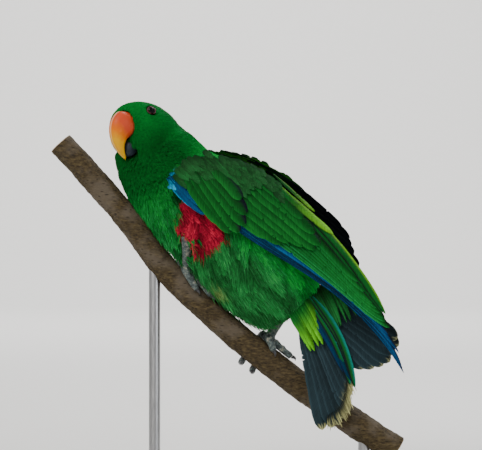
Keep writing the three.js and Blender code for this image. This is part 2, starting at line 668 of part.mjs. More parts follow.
// Everything of a rod above the branch is dropped, and its head is hollowed to the bark
function standRod(x) {
  const { steps, top, deep } = ROD_CUT;
  const above = skin([-deep, deep].map((y) => {
    const edge = Array.from({ length: steps + 1 }, (_, k) => branchCurve.getPointAt(k / steps));
    return [...edge, vec(BASE.length, 0, top), vec(-BASE.length, 0, top)]
      .map((p) => p.clone().setY(y));
  }));
  return cutAway(rodSolid(x), [above, branchSolid(GAP)]);
}

// Assembly
const parts = new THREE.Group();

function addPart(name, solid, [colour, roughness]) {
  const material = new THREE.MeshStandardMaterial({ color: colour, roughness });
  const mesh = new THREE.Mesh(toGeometry(solid), material);
  mesh.name = name;
  parts.add(mesh);
}

const wood = (grow) => unite([branchSolid(grow), ...KNOTS.map((knot) => knotSolid(knot, grow))]);
const grownBranch = wood(GAP);
const grownUpperBeak = beakSolid(UPPER_BEAK, UPPER_BEAK_TIP, GAP);
const grownLowerBeak = beakSolid(LOWER_BEAK, LOWER_BEAK_TIP, GAP);
const lids = [1, -1].map(lidSolid);
const grownEyes = [1, -1].map((mirror) => eyeSolid(mirror, GAP));
const grownThighs = Object.values(THIGHS).map((thigh) => thighSolid(thigh, GAP));
const footSolid = (foot, grow) => palmSolid(foot, grow).add(tarsusSolid(foot, grow));
const grownFeet = Object.values(FEET).map((foot) => footSolid(foot, FEATHER_GAP));
const grownToes = Object.values(FEET).flatMap((foot) => foot.toes.flatMap((toe) => (
  Object.values(toeParts(foot, toe, FEATHER_GAP)))));
const nostrils = [1, -1].map(nostrilSolid);

const bird = cutAway(unite([trunkSolid(0), skullSolid(), ...lids]), [
  grownUpperBeak, grownLowerBeak, ...grownEyes, ...nostrils, grownBranch, ...grownThighs,
  ...grownFeet, ...grownToes,
]);

const CUTS = {
  chin: [[-104, 279], [-45, 312]],
  collar: [[-95, 262], [-26, 295]],
  waist: [[-48.5, 200], [27.6, 268]],
  vent: [[20, 145], [69, 210]],
};
const above = ([a, b]) => sideOf(a, b, true);
const below = ([a, b]) => sideOf(a, b, false);

addPart('head', bird.intersect(above(CUTS.chin)), COLOURS.head);
addPart('neck', bird.intersect(below(CUTS.chin)).intersect(above(CUTS.collar)), COLOURS.body);
addPart('breast', bird.intersect(below(CUTS.collar)).intersect(above(CUTS.waist)), COLOURS.body);
addPart('belly', bird.intersect(below(CUTS.waist)).intersect(above(CUTS.vent)), COLOURS.body);
addPart('rump', bird.intersect(below(CUTS.vent)), COLOURS.body);

addPart('beak_upper', cutAway(beakSolid(UPPER_BEAK, UPPER_BEAK_TIP, 0), nostrils),
  COLOURS.beakUpper);
addPart('beak_lower', beakSolid(LOWER_BEAK, LOWER_BEAK_TIP, 0).subtract(grownUpperBeak),
  COLOURS.beakLower);
addPart('eye_left', eyeSolid(1, 0), COLOURS.eye);
addPart('eye_right', eyeSolid(-1, 0), COLOURS.eye);

const grownTrunk = trunkSolid(FEATHER_GAP);
const sideCuts = [grownTrunk, grownBranch, ...grownThighs];
addPart('wing_left', cutAway(wingSolid(1, NEAR_TIERS, [0, 0]), sideCuts), COLOURS.wing);
addPart('wing_right', cutAway(wingSolid(-1, FAR_TIERS, FAR_WING.lower), sideCuts), COLOURS.wing);
const rearCuts = [grownTrunk, grownBranch];
addPart('tail', cutAway(tailRow(TAIL_PAD, tierVanes(tailSheet, TAIL_TIER)), rearCuts),
  COLOURS.tail);
addPart('undertail_coverts', cutAway(
  tailRow(UNDERTAIL_PAD, tierVanes(tailSheet, UNDERTAIL_TIER)), rearCuts), COLOURS.coverts);
addPart('uppertail_coverts', cutAway(
  tailRow(UPPERTAIL_PAD, tierVanes(tailSheet, UPPERTAIL_TIER)), rearCuts), COLOURS.wing);

for (const [side, thigh] of Object.entries(THIGHS)) {
  const foot = FEET[side];
  addPart(`thigh_${side}`, cutAway(thighSolid(thigh, 0), [grownBranch, ...grownFeet, ...grownToes]),
    COLOURS.body);
  const grownFoot = footSolid(foot, GAP);
  addPart(`foot_${side}`, footSolid(foot, 0).subtract(grownBranch), COLOURS.foot);
  foot.toes.forEach((toe, i) => {
    const { toe: toeSolid, claw } = toeParts(foot, toe);
    const earlier = foot.toes.slice(0, i).map((other) => toeParts(foot, other, GAP).toe);
    addPart(`toe_${side}_${i + 1}`, cutAway(toeSolid, [grownFoot, grownBranch, ...earlier]),
      COLOURS.foot);
    const grownToe = toeParts(foot, toe, GAP).toe;
    addPart(`claw_${side}_${i + 1}`, cutAway(claw, [grownToe, grownBranch]), COLOURS.claw);
  });
}

addPart('perch_branch', wood(0), COLOURS.bark);
addPart('stand_base', roundedBase(), COLOURS.base);
addPart('stand_rod_front', standRod(ROD.frontX), COLOURS.rod);
addPart('stand_rod_rear', standRod(ROD.rearX), COLOURS.rod);

export default parts;
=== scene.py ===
"""Male eclectus parrot on a cut length of branch, held by a display stand.

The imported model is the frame. Skin, plumage, beak, eyes, feet, branch and stand are dressed over it,
and a plain pale stage with soft lights and the camera is set up. Lengths are millimetres until a
mesh is written, which is in metres.
"""
import math

import bpy
import numpy as np
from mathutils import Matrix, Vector
from mathutils.bvhtree import BVHTree


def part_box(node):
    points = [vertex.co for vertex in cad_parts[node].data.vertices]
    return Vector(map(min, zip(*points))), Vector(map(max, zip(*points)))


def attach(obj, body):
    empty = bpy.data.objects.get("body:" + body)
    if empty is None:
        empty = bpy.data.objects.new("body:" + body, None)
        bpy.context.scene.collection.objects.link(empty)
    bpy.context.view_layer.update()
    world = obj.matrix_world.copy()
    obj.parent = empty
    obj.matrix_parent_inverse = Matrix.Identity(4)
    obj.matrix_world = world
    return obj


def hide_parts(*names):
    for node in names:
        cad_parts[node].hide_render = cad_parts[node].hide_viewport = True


bl_info = {
    "name": "Eclectus Parrot",
    "version": (1, 0, 0),
    "blender": (4, 5, 0),
    "location": "View3D > Sidebar > Parrot",
    "description": "Dresses the packed frame of a perched male eclectus parrot",
    "category": "Object",
}

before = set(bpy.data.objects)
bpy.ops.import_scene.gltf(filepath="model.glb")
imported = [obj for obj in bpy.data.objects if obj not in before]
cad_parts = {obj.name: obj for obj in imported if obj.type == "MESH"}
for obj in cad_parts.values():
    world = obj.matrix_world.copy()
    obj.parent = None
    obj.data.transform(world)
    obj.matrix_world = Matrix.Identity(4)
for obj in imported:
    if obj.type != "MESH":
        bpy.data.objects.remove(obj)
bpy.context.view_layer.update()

MM = 0.001
BODY = "root"
UP = np.array([0.0, 0.0, 1.0])
FLESH = ("head", "neck", "breast", "belly", "rump", "thigh_left", "thigh_right")

# Head frame: the beak's front, and the way back and out to the near side
BEAK_FRONT = np.array([-109.1, -22.0, 0.0])
HEAD_TURN = math.radians(38)
HEAD_BACK = np.array([math.cos(HEAD_TURN), math.sin(HEAD_TURN), 0.0])
HEAD_SIDE = np.array([math.sin(HEAD_TURN), -math.cos(HEAD_TURN), 0.0])
BEAK_BASE = (20.0, 314.0)
EYE = {"back": 34.0, "side": 14.0, "height": 328.0, "radius": 4.7}

# Lines across the bird's side, as x and z pairs, that part the head, neck, breast, belly and rump
PARTINGS = (
    ((-104, 279), (-45, 312)), ((-95, 262), (-26, 295)), ((-48.5, 200), (27.6, 268)),
    ((20, 145), (69, 210)),
)

# Which way the plumage lies, seen from the side: place x and z, then direction x and z
LIE = (
    (-91, 262, 0.28, -0.96), (-66, 226, 0.42, -0.90), (-75, 283, 0.42, -0.90),
    (-39, 304, 0.75, -0.66), (-57, 295, 0.60, -0.80), (-30, 234, 0.40, -0.92),
    (4, 208, 0.30, -0.95), (-20, 180, 0.55, -0.83), (0, 160, 0.80, -0.60),
    (39, 160, 0.60, -0.80), (-22, 290, 0.74, -0.67), (40, 235, 0.74, -0.67),
    (65, 185, 0.66, -0.75), (60, 160, 0.45, -0.89),
)

# Coat by part: space between feathers, depth over the skin, loose barbs on each and their width,
# how much feathers differ in tone, how bright the barbs are, and the size of a clump of feathers
COAT_SIZES = ("space", "depth", "barbs", "barb", "uneven", "bright", "clump")
COAT = {part: dict(zip(COAT_SIZES, sizes)) for part, sizes in (
    ("head", (1.25, 0.9, 3, 0.22, 0.05, 0.2, 0)),
    ("neck", (1.6, 1.7, 8, 0.34, 0.09, 0.4, 6)),
    ("breast", (2.15, 2.5, 10, 0.42, 0.12, 0.5, 11)),
    ("belly", (2.6, 2.6, 12, 0.42, 0.08, 0.4, 20)),
    ("rump", (2.6, 2.4, 10, 0.42, 0.1, 0.4, 16)),
)}
# Feather length and width by distance from the beak's base
REACH = (0, 12, 30, 55, 85, 130, 260)
LENGTHS = (2.2, 2.8, 4.2, 6.5, 9.5, 13, 14)
WIDTHS = (1.3, 1.6, 2.2, 3.0, 3.8, 5.0, 5.5)
# Places kept free of the coat: round each eye, and beside these CAD nodes
EYE_CLEARANCE = 5.2
CLEARANCE = {
    "perch_branch": 0.5, "beak_upper": 0.5, "beak_lower": 0.5, "foot_left": 1.0,
    "toe_left_1": 2.2, "toe_left_2": 2.2,
}
# Feathers whose root and tip both lie so close under these nodes are hidden and left out
COVERS = ("wing_left", "wing_right", "tail")
COVER_REACH = 16
# Crimson flank: distance along the wing's line, and the patch's lower limit there
FLANK = ((14, 20, 28, 36, 44, 52, 58, 63, 67), (-8, -16, -24, -28, -27, -29, -24, -12, -2))


# Colours and sizes that a user would change

def colour(name, description, default):
    return bpy.props.FloatVectorProperty(
        name=name, description=description, default=default, subtype="COLOR", size=3,
        min=0.0, max=1.0,
    )


def metres(name, description, default, smallest):
    return bpy.props.FloatProperty(
        name=name, description=description, default=default, unit="LENGTH", min=smallest)


def watts(name, description, default):
    return bpy.props.FloatProperty(
        name=name, description=description, default=default, unit="POWER")


class ParrotPlumage(bpy.types.PropertyGroup):
    """Colours of the feathers."""
    crown: colour("Crown", "Top and side of the head", (0.001, 0.130, 0.018))
    # Painted shade: the lower face, below the eye and round the beak, is a darker green than the crown
    cheek_shade: colour("Cheek", "Below the eye and round the beak", (0.003, 0.062, 0.009))
    nape: colour("Nape", "Back of the neck and the back", (0.002, 0.310, 0.034))
    breast: colour("Breast", "Throat and breast", (0.007, 0.200, 0.026))
    breast_light: colour("Breast strands", "Brightest strands on the breast", (0.08, 0.43, 0.14))
    belly: colour("Belly", "Belly and thighs", (0.020, 0.180, 0.036))
    flank: colour("Flank", "Crimson patch under each wing", (0.43, 0.015, 0.042))
    wing: colour("Wing", "Coverts and outer webs of the secondaries", (0.005, 0.082, 0.011))
    wing_edge: colour("Wing edges", "Pale edges of the upper wing feathers", (0.14, 0.38, 0.01))
    primary: colour("Primaries", "Outer webs of the primaries", (0.002, 0.026, 0.085))
    primary_edge: colour("Primary edges", "Bright edges of the primaries", (0.003, 0.10, 0.26))
    bend: colour("Bend of the wing", "Small feathers at the bend and edge", (0.002, 0.21, 0.36))
    inner: colour("Inner webs", "Hidden dark webs of wing feathers", (0.003, 0.005, 0.007))
    undertail: colour("Undertail", "Coverts under the tail", (0.075, 0.31, 0.010))
    tail: colour("Tail", "Underside of the tail", (0.009, 0.018, 0.022))
    tail_tip: colour("Tail tips", "Pale ends of the tail feathers", (0.56, 0.54, 0.24))
    tail_edge: colour("Tail edge", "Blue-green edge of the tail", (0.002, 0.20, 0.16))


class ParrotBare(bpy.types.PropertyGroup):
    """Colours of the bare parts."""
    beak_base: colour("Beak base", "Upper half of the bill", (0.52, 0.060, 0.020))
    beak_tip: colour("Beak tip", "Lower half and tip of the bill", (0.66, 0.31, 0.0))
    mandible: colour("Lower bill", "Lower half of the beak", (0.010, 0.014, 0.019))
    lid: colour("Lid", "Bare ring round the eye", (0.085, 0.012, 0.016))
    iris: colour("Iris", "Ring round the pupil", (0.030, 0.006, 0.003))
    foot: colour("Foot", "Scales of feet and toes", (0.105, 0.145, 0.140))
    claw: colour("Claw", "Horn of the claws", (0.016, 0.016, 0.018))


class ParrotMount(bpy.types.PropertyGroup):
    """Sizes and colours of branch and stand."""
    bark: colour("Bark", "Main colour of the bark", (0.048, 0.033, 0.014))
    bark_dark: colour("Bark cracks", "Pores and cracks of the bark", (0.014, 0.009, 0.005))
    wood: colour("Cut wood", "Bare wood at the cut ends", (0.42, 0.28, 0.15))
    stand: colour("Stand", "Paint of the base", (0.72, 0.71, 0.68))
    corner: metres("Base corner", "Corner radius of the base", 0.016, 0.002)
    rod: metres("Rod radius", "Radius of each rod", 0.005, 0.002)
    flange: metres("Flange radius", "Radius of each rod's foot", 0.012, 0.004)


class ParrotStage(bpy.types.PropertyGroup):
    """Lights and floor."""
    key: watts("Key light", "Power of the large upper light", 62.0)
    fill: watts("Fill light", "Power of the side light", 13.0)
    rim: watts("Rim light", "Power of the light behind", 22.0)
    backdrop: watts("Backdrop light", "Power of the light on the backdrop", 260.0)
    ambient: bpy.props.FloatProperty(
        name="Ambient", description="Strength of the room's light", default=0.36, min=0.0)
    floor: colour("Floor", "Floor and backdrop", (0.78, 0.77, 0.75))


# Small helpers

def select_only(*objects):
    bpy.ops.object.select_all(action="DESELECT")
    for item in objects:
        item.select_set(True)
    bpy.context.view_layer.objects.active = objects[0]


def apply_modifiers(item):
    select_only(item)
    for modifier in list(item.modifiers):
        bpy.ops.object.modifier_apply(modifier=modifier.name)


def finish_piece(item, material, replaced=()):
    """The piece gets its finish, rides on the body and stands for its CAD nodes."""
    item.data.materials.clear()
    item.data.materials.append(material)
    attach(item, BODY)
    if replaced:
        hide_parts(*replaced)


def in_scene(name, data):
    item = bpy.data.objects.new(name, data)
    bpy.context.scene.collection.objects.link(item)
    return item


def placed(name, scale=(1.0, 1.0, 1.0)):
    """Names and sizes the primitive just added, and keeps its place and size in its mesh."""
    made = bpy.context.active_object
    made.name = name
    made.scale = scale
    bpy.ops.object.transform_apply(location=True, rotation=True, scale=True)
    return made


def bevelled(item, name, width, segments, angle):
    """Rounds the edges where faces meet at more than an angle in degrees."""
    rounding = item.modifiers.new(name, "BEVEL")
    rounding.width = width
    rounding.segments = segments
    rounding.limit_method = "ANGLE"
    rounding.angle_limit = math.radians(angle)
    apply_modifiers(item)


def joined_copy(names, name):
    """One welded mesh object from copies of CAD nodes."""
    copies = []
    for source in names:
        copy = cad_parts[source].copy()
        copy.data = copy.data.copy()
        copy.parent = None
        copy.hide_render = False
        copy.hide_viewport = False
        for key in list(copy.keys()):
            del copy[key]
        bpy.context.scene.collection.objects.link(copy)
        copies.append(copy)
    select_only(*copies)
    if len(copies) > 1:
        bpy.ops.object.join()
    joined = bpy.context.view_layer.objects.active
    joined.name = name
    joined.data.name = name
    joined.data.materials.clear()
    bpy.ops.object.mode_set(mode="EDIT")
    bpy.ops.mesh.select_all(action="SELECT")
    bpy.ops.mesh.remove_doubles(threshold=0.00001)
    bpy.ops.object.mode_set(mode="OBJECT")
    return joined


def remeshed(item, voxel, swell, smooth):
    """Swells the closed pieces until they meet, fuses them as one skin and evens it out."""
    if swell > 0:
        grow = item.modifiers.new("Swell", "DISPLACE")
        grow.strength = swell
        grow.mid_level = 0.0
    fuse = item.modifiers.new("Fuse", "REMESH")
    fuse.mode = "VOXEL"
    fuse.voxel_size = voxel
    even = item.modifiers.new("Even", "SMOOTH")
    even.factor = 0.5
    even.iterations = smooth
    apply_modifiers(item)


def vertex_arrays(mesh):
    """Places in millimetres and normals of a mesh's vertices."""
    places = np.empty(len(mesh.vertices) * 3)
    mesh.vertices.foreach_get("co", places)
    normals = np.empty(len(mesh.vertices) * 3)
    mesh.vertex_normals.foreach_get("vector", normals)
    return places.reshape(-1, 3) / MM, normals.reshape(-1, 3)


def move_to(mesh, places):
    """Writes a mesh's vertices back from their places in millimetres."""
    mesh.vertices.foreach_set("co", (places * MM).astype(np.float32).ravel())
    mesh.update()


def triangle_array(mesh):
    mesh.calc_loop_triangles()
    corners = np.empty(len(mesh.loop_triangles) * 3, dtype=np.int32)
    mesh.loop_triangles.foreach_get("vertices", corners)
    return corners.reshape(-1, 3)


def tree_of(mesh):
    """A search tree over a mesh, in millimetres."""
    places, _ = vertex_arrays(mesh)
    return BVHTree.FromPolygons(places.tolist(), triangle_array(mesh).tolist())


def set_attribute(mesh, name, kind, field, values):
    """Stores one value for each vertex, for a material to read."""
    layer = mesh.attributes.new(name, kind, "POINT")
    layer.data.foreach_set(field, np.ascontiguousarray(values, dtype=np.float32).ravel())


def set_tint(mesh, tint):
    opaque = np.concatenate([tint, np.ones((len(tint), 1))], axis=1)
    set_attribute(mesh, "tint", "FLOAT_COLOR", "color", opaque)


def unit(vectors):
    return vectors / np.maximum(np.linalg.norm(vectors, axis=-1, keepdims=True), 1e-9)


def ease(low, high, value):
    """Rises smoothly from 0 at low to 1 at high; low may be the larger of the two."""
    t = np.clip((value - low) / (high - low), 0.0, 1.0)
    return t * t * (3.0 - 2.0 * t)


def mix(a, b, share):
    share = np.asarray(share)[..., None]
    return np.asarray(a) * (1.0 - share) + np.asarray(b) * share


def curve_through(points, t):
    """A smooth line through points at t from 0 to 1."""
    points = np.asarray(points, dtype=float)
    last = len(points) - 1
    place = np.clip(np.asarray(t, dtype=float) * last, 0.0, last)
    first = np.minimum(place.astype(int), last - 1)
    f = (place - first)[..., None]
    p1 = points[first]
    p2 = points[first + 1]
    p0 = np.where((first > 0)[..., None], points[np.maximum(first - 1, 0)], 2 * p1 - p2)
    p3 = np.where(
        (first + 2 <= last)[..., None], points[np.minimum(first + 2, last)], 2 * p2 - p1)
    return 0.5 * (
        2 * p1 + (p2 - p0) * f + (2 * p0 - 5 * p1 + 4 * p2 - p3) * f ** 2
        + (3 * p1 - p0 - 3 * p2 + p3) * f ** 3)


def on_head(back, height, side):
    """Places from their distance behind the beak's front, height and sideways distance."""
    back, height, side = np.broadcast_arrays(back, height, side)
    place = BEAK_FRONT + back[..., None] * HEAD_BACK + side[..., None] * HEAD_SIDE
    place[..., 2] = height
    return place


def eye_centre(mirror):
    return on_head(EYE["back"], EYE["height"], mirror * EYE["side"])


def nearest_on(tree, places):
    """The nearest points and normals of a surface for each place."""
    found = np.empty_like(places)
    normals = np.empty_like(places)
    for i, place in enumerate(places):
        spot, normal, _, _ = tree.find_nearest(place)
        found[i] = spot
        normals[i] = normal
    return found, normals


# Feathers as joined closed vanes

class Vanes:
    """Collects closed vanes with their place on the feather, colour and bake patch.

    Long feathers get one cell each of the bake map, which is so many cells wide."""

    def __init__(self, cells=1):
        self.points = []
        self.faces = []
        self.vane = []
        self.tint = []
        self.patch = []
        self.total = 0
        self.cells = cells
        self.feathers = 0

    def add(self, points, faces, vane, tint, patch):
        self.points.append(points.reshape(-1, 3))
        self.faces.append(faces.reshape(-1, 3) + self.total)
        self.vane.append(vane.reshape(-1, 3))
        self.tint.append(tint.reshape(-1, 3))
        self.patch.append(patch.reshape(-1, 2))
        self.total += self.points[-1].shape[0]

    def build(self, name):
        points = np.concatenate(self.points) * MM
        faces = np.concatenate(self.faces).astype(np.int32)
        mesh = bpy.data.meshes.new(name)
        mesh.vertices.add(len(points))
        mesh.vertices.foreach_set("co", points.astype(np.float32).ravel())
        mesh.loops.add(faces.size)
        mesh.loops.foreach_set("vertex_index", faces.ravel())
        mesh.polygons.add(len(faces))
        mesh.polygons.foreach_set("loop_start", np.arange(0, faces.size, 3, dtype=np.int32))
        mesh.update(calc_edges=True)
        set_attribute(mesh, "vane", "FLOAT_VECTOR", "vector", np.concatenate(self.vane))
        set_tint(mesh, np.clip(np.concatenate(self.tint), 0.0, 1.0))
        corners = np.concatenate(self.patch)[faces.ravel()]
        bake = mesh.uv_layers.new(name="OFBake")
        bake.data.foreach_set("uv", corners.astype(np.float32).ravel())
        item = in_scene(name, mesh)
        select_only(item)
        bpy.ops.object.shade_smooth_by_angle(angle=math.radians(62))
        return item


def strip_faces(rings, count):
    """Triangles of a closed strip of rings, with a cap at the root and a point at the end."""
    faces = []
    for r in range(rings - 1):
        for k in range(count):
            a = r * count + k
            b = r * count + (k + 1) % count
            faces += [(a, a + count, b + count), (a, b + count, b)]
    faces += [(0, k, k + 1) for k in range(1, count - 1)]
    last = (rings - 1) * count
    faces += [(last + k, rings * count, last + (k + 1) % count) for k in range(count)]
    return np.array(faces)


def faces_out(points, faces):
    """Turns round the faces of each vane that came out inside out."""
    corners = points.reshape(-1, 3)[faces] - points.mean(axis=1)[:, None, None]
    turned = np.cross(corners[:, :, 1], corners[:, :, 2])
    volume = np.sum(corners[:, :, 0] * turned, axis=(1, 2))
    return np.where((volume < 0)[:, None, None], faces[..., ::-1], faces)


# Small feathers of the coat: places of the rings and the tip along each, the rings' share of its
# full width, and the share of the coat's depth at rings and tip
SMALL_AT = np.array([0.0, 0.34, 0.68, 0.9, 1.0])
SMALL_SHARE = np.array([0.4, 0.92, 1.0, 0.62])
SMALL_RISE = np.array([-0.25, 0.42, 0.78, 0.94, 0.9])
SMALL_FACES = strip_faces(len(SMALL_SHARE), 3)
# Loose barbs: a ring at the root, one at the waist, and the tip
WAIST = 0.55
BARB_AT = np.array([0.0, 0.0, 0.0, WAIST, WAIST, WAIST, 1.0])
BARB_FACES = strip_faces(2, 3)
# Size of a small feather's patch on the bake map
PATCH = 0.003


def small_feathers(vanes, roots, tree, shape, draw):
    """Adds one small feather for each root, laid over the skin along its direction."""
    count = len(roots["place"])
    rings = len(SMALL_SHARE)
    lengths = shape["length"] * draw.uniform(0.82, 1.18, count)
    widths = shape["width"] * draw.uniform(0.85, 1.15, count)
    depth = shape["depth"] * draw.uniform(0.86, 1.04, count)
    reach = (lengths[:, None] * SMALL_AT)[..., None]
    ahead = roots["place"][:, None] + roots["lie"][:, None] * reach
    spots, normals = nearest_on(tree, ahead.reshape(-1, 3))
    spots = spots.reshape(ahead.shape)
    normals = unit(normals.reshape(ahead.shape) + roots["normal"][:, None] * 0.6)
    line = spots + normals * (SMALL_RISE[None] * depth[:, None])[..., None]
    line = line - UP * (shape["hang"][:, None] * SMALL_AT ** 2)[..., None]
    forward = unit(np.gradient(line, axis=1))
    side = unit(np.cross(normals, forward))
    half = (SMALL_SHARE[None] * widths[:, None] / 2)[..., None]
    camber = shape["camber"] + 0.1 * draw.random((count, 1, 1))
    centre = line[:, :rings]
    over = normals[:, :rings]
    out = side[:, :rings] * half
    drop = over * half * camber
    body = np.stack([centre - out - drop, centre + over * 0.08, centre + out - drop], axis=2)
    points = np.concatenate([body.reshape(count, rings * 3, 3), line[:, rings:]], axis=1)
    faces = SMALL_FACES[None] + (np.arange(count) * points.shape[1])[:, None, None]
    across = np.append(np.tile([-1.0, 0.0, 1.0], rings), 0.0)
    along = np.append(np.repeat(SMALL_AT[:rings], 3), 1.0)
    vane = np.stack(np.broadcast_arrays(
        across[None] * widths[:, None] / 2, along[None] * lengths[:, None],
        draw.random(count)[:, None] * 100), axis=-1)
    # Painted shade: each feather is darker at its root, where its neighbours cover it, and a little
    # lighter at its end, more so where the coat is soft; its tone also differs at random
    fade = 0.1 + 0.26 * shape["soft"][:, None]
    tone = draw.normal(1.0, shape["uneven"], count)[:, None] * (1.0 - fade + 1.3 * fade * along)
    tint = roots["tint"][:, None] * np.clip(tone, 0.25, 2.0)[..., None]
    spot = np.stack([across * 0.5, along - 0.5], axis=-1)
    patch = roots["patch"][:, None] + PATCH * spot[None]
    vanes.add(points, faces_out(points, faces), vane, tint, patch)
    loose_barbs(vanes, roots, line, side, normals, lengths, widths, shape, draw)


def loose_barbs(vanes, roots, line, side, normals, lengths, widths, shape, draw):
    """Adds the thin strands that fray each small feather's end."""
    count = len(line)
    many = shape["barbs"]
    start = draw.uniform(0.15, 0.75, (count, many))
    end = start + draw.uniform(0.45, 0.8, (count, many))
    off = draw.uniform(-0.46, 0.46, (count, many)) * widths[:, None]
    spread = off * draw.uniform(1.0, 1.35, (count, many))
    lift = draw.uniform(0.02, 0.22, (count, many)) * shape["depth"][:, None]
    thick = shape["barb"] * (0.55 + 1.3 * draw.random((count, many)) ** 2)
    ahead = unit(line[:, -1] - line[:, -3])[:, None]
    pick = np.arange(count)[:, None]

    def sample(values, at):
        place = np.interp(at, SMALL_AT, np.arange(len(SMALL_AT)))
        place = np.clip(place, 0, len(SMALL_AT) - 1.001)
        low = place.astype(int)
        f = (place - low)[..., None]
        return values[pick, low] * (1 - f) + values[pick, low + 1] * f

    def centre_at(at, offset, raised):
        """Middles of the strands at a share of the feather's length, past its end too."""
        place = sample(line, np.minimum(at, 1.0)) + sample(side, at) * offset[..., None]
        place = place + sample(normals, at) * (lift * raised)[..., None]
        return place + ahead * (np.maximum(at - 1.0, 0) * lengths[:, None])[..., None]

    rows = []
    for share, offset, raised in ((0.0, off, 0.2), (WAIST, (off + spread) / 2, 0.9)):
        at = start + (end - start) * share
        centre = centre_at(at, offset, raised)
        up = sample(normals, at)
        across = sample(side, at) * (thick / 2)[..., None]
        drop = up * (thick * 0.35)[..., None]
        rows += [centre - across - drop, centre + up * (thick * 0.25)[..., None],
                 centre + across - drop]
    rows.append(centre_at(end, spread, 0.5))
    total = count * many
    points = np.stack(rows, axis=2).reshape(total, len(rows), 3)
    faces = BARB_FACES[None] + (np.arange(total) * len(rows))[:, None, None]
    vane = np.stack(np.broadcast_arrays(
        np.zeros((total, 1)), BARB_AT[None] * 2, draw.random(total)[:, None] * 100), axis=-1)
    bright = draw.random((count, many)) ** 2.2
    dark = (0.85 - 0.5 * shape["soft"])[:, None, None]
    tone = mix(
        roots["tint"][:, None] * (dark + (1.2 - dark) * draw.random((count, many, 1))),
        roots["light"][:, None] * np.ones((count, many, 1)), bright * shape["bright"])
    # Painted shade: each strand is darker at its root than at its end
    tint = tone.reshape(-1, 1, 3) * (0.8 + 0.4 * BARB_AT)[None, :, None]
    spot = np.stack([np.array([-0.2, 0, 0.2, -0.1, 0, 0.1, 0]), BARB_AT - 0.5], axis=-1)
    patch = np.repeat(roots["patch"], many, axis=0)[:, None] + PATCH * spot[None]
    vanes.add(points, faces_out(points, faces), vane, tint, patch)


# Long feathers of wings and tail: points across, from the lower to the upper edge
ACROSS = np.array([-1.0, -0.7, -0.38, -0.07, 0.07, 0.38, 0.7, 1.0])
# Brings the curve along ** 2 * (1 - along) of a hooked feather to a height of 1
HOOK_SHAPE = 6.75


def tip_share(at, root, blunt, point):
    """Share of the full width along a vane: a narrow root, a full middle and a rounded or
    pointed end."""
    opening = root + (1 - root) * ease(0.0, 0.32, at)
    end = np.clip((at - blunt) / (1 - blunt), 0.0, 1.0)
    return opening * (1 - end ** point) ** (1 / point)


def long_feather(vanes, sheet, feather, paint):
    """Adds one long vane on a sheet, with a raised shaft, thin edges and split barbs."""
    draw = np.random.default_rng(feather["seed"])
    root = np.array(feather["root"], dtype=float)
    tip = np.array(feather["tip"], dtype=float)
    span = tip - root
    length = np.hypot(*span)
    out = np.array([-span[1], span[0]]) / length
    at = np.linspace(0, 1, feather["rings"]) ** 0.86
    splits = draw.uniform(0.35, 0.93, feather.get("splits", 2))
    notch = 0.9 / length
    at = np.sort(np.concatenate([at, splits - notch, splits, splits + 2.5 * notch]))
    at = np.clip(at, 0, 0.985)
    share = tip_share(at, feather.get("narrow", 0.35), feather["blunt"], feather["point"])
    bend = feather["bow"] * np.sin(math.pi * at)
    bend += feather.get("hook", 0.0) * HOOK_SHAPE * (at ** 2 * (1 - at))
    middle = root + span * at[:, None] + out * bend[:, None]
    wide = np.ones((len(at), len(ACROSS)))
    for place in splits:
        edge = 0 if draw.random() < 0.6 else -1
        wide[np.isclose(at, place), edge] = draw.uniform(0.5, 0.8)
    for edge in (0, -1):
        wide[:, edge] *= 1 + draw.normal(0, 0.02, len(at))
    across = ACROSS[None] * wide
    reach = across * (share * feather["width"] / 2)[:, None]
    lift = feather["root_lift"] + (feather["tip_lift"] - feather["root_lift"]) * at
    shaft = np.where(np.abs(ACROSS) < 0.1, 0.22, 0.0)[None] * (1 - 0.7 * at)[:, None]
    camber = feather.get("camber", 0.06) * feather["width"] * (1 - across ** 2)
    top = lift[:, None] - across * feather["tilt"] * share[:, None] / 2 + camber + shaft
    thick = 0.42 * (1 - 0.55 * np.abs(ACROSS))[None] * (1 - 0.5 * at)[:, None]
    x = middle[:, None, 0] + out[0] * reach
    y = middle[:, None, 1] + out[1] * reach
    upper = sheet(x, y, top)
    lower = sheet(x, y, top - thick)
    first, second = (upper, lower) if feather["flip"] else (lower, upper)
    rings = np.concatenate([first, second[:, ::-1]], axis=1)
    per = rings.shape[1]
    tip_place = sheet(tip[0], tip[1], feather["tip_lift"])
    points = np.concatenate([rings.reshape(-1, 3), tip_place.reshape(1, 3)])
    both = np.concatenate([ACROSS, ACROSS[::-1]])
    flat_across = np.append(np.tile(both, len(at)), 0.0)
    flat_along = np.append(np.repeat(at, per), 1.0)
    half = np.append(np.repeat(share, per), 0.1) * feather["width"] / 2
    seed = draw.random() * 100
    vane = np.stack([
        flat_across * half, flat_along * length, np.full(len(points), seed)], axis=-1)
    tint = paint(flat_across, flat_along, feather, draw)
    row, column = divmod(vanes.feathers, vanes.cells)
    vanes.feathers += 1
    patch = np.stack([
        column + 0.5 + flat_across * 0.42, row + 0.04 + flat_along * 0.92], axis=-1) / vanes.cells
    vanes.add(points, strip_faces(len(at), per), vane, tint, patch)


def tier(count, roots, tips, seed, **spans):
    """A row of feathers, from its first to its last.

    A span that is a pair goes from its first value to its second along the row. Another value is
    the same for each feather."""
    draw = np.random.default_rng(seed)
    row = []
    for i in range(count):
        t = i / max(count - 1, 1)
        feather = {"share": t, "root": curve_through(roots, t), "seed": seed * 100 + i}
        for key, value in spans.items():
            feather[key] = value[0] + (value[1] - value[0]) * t if type(value) is tuple else value
        loose = feather.get("loose", (1.2, 0.4))
        feather["tip"] = curve_through(tips, t) + draw.normal(0, 1, 2) * loose
        row.append(feather)
    return row


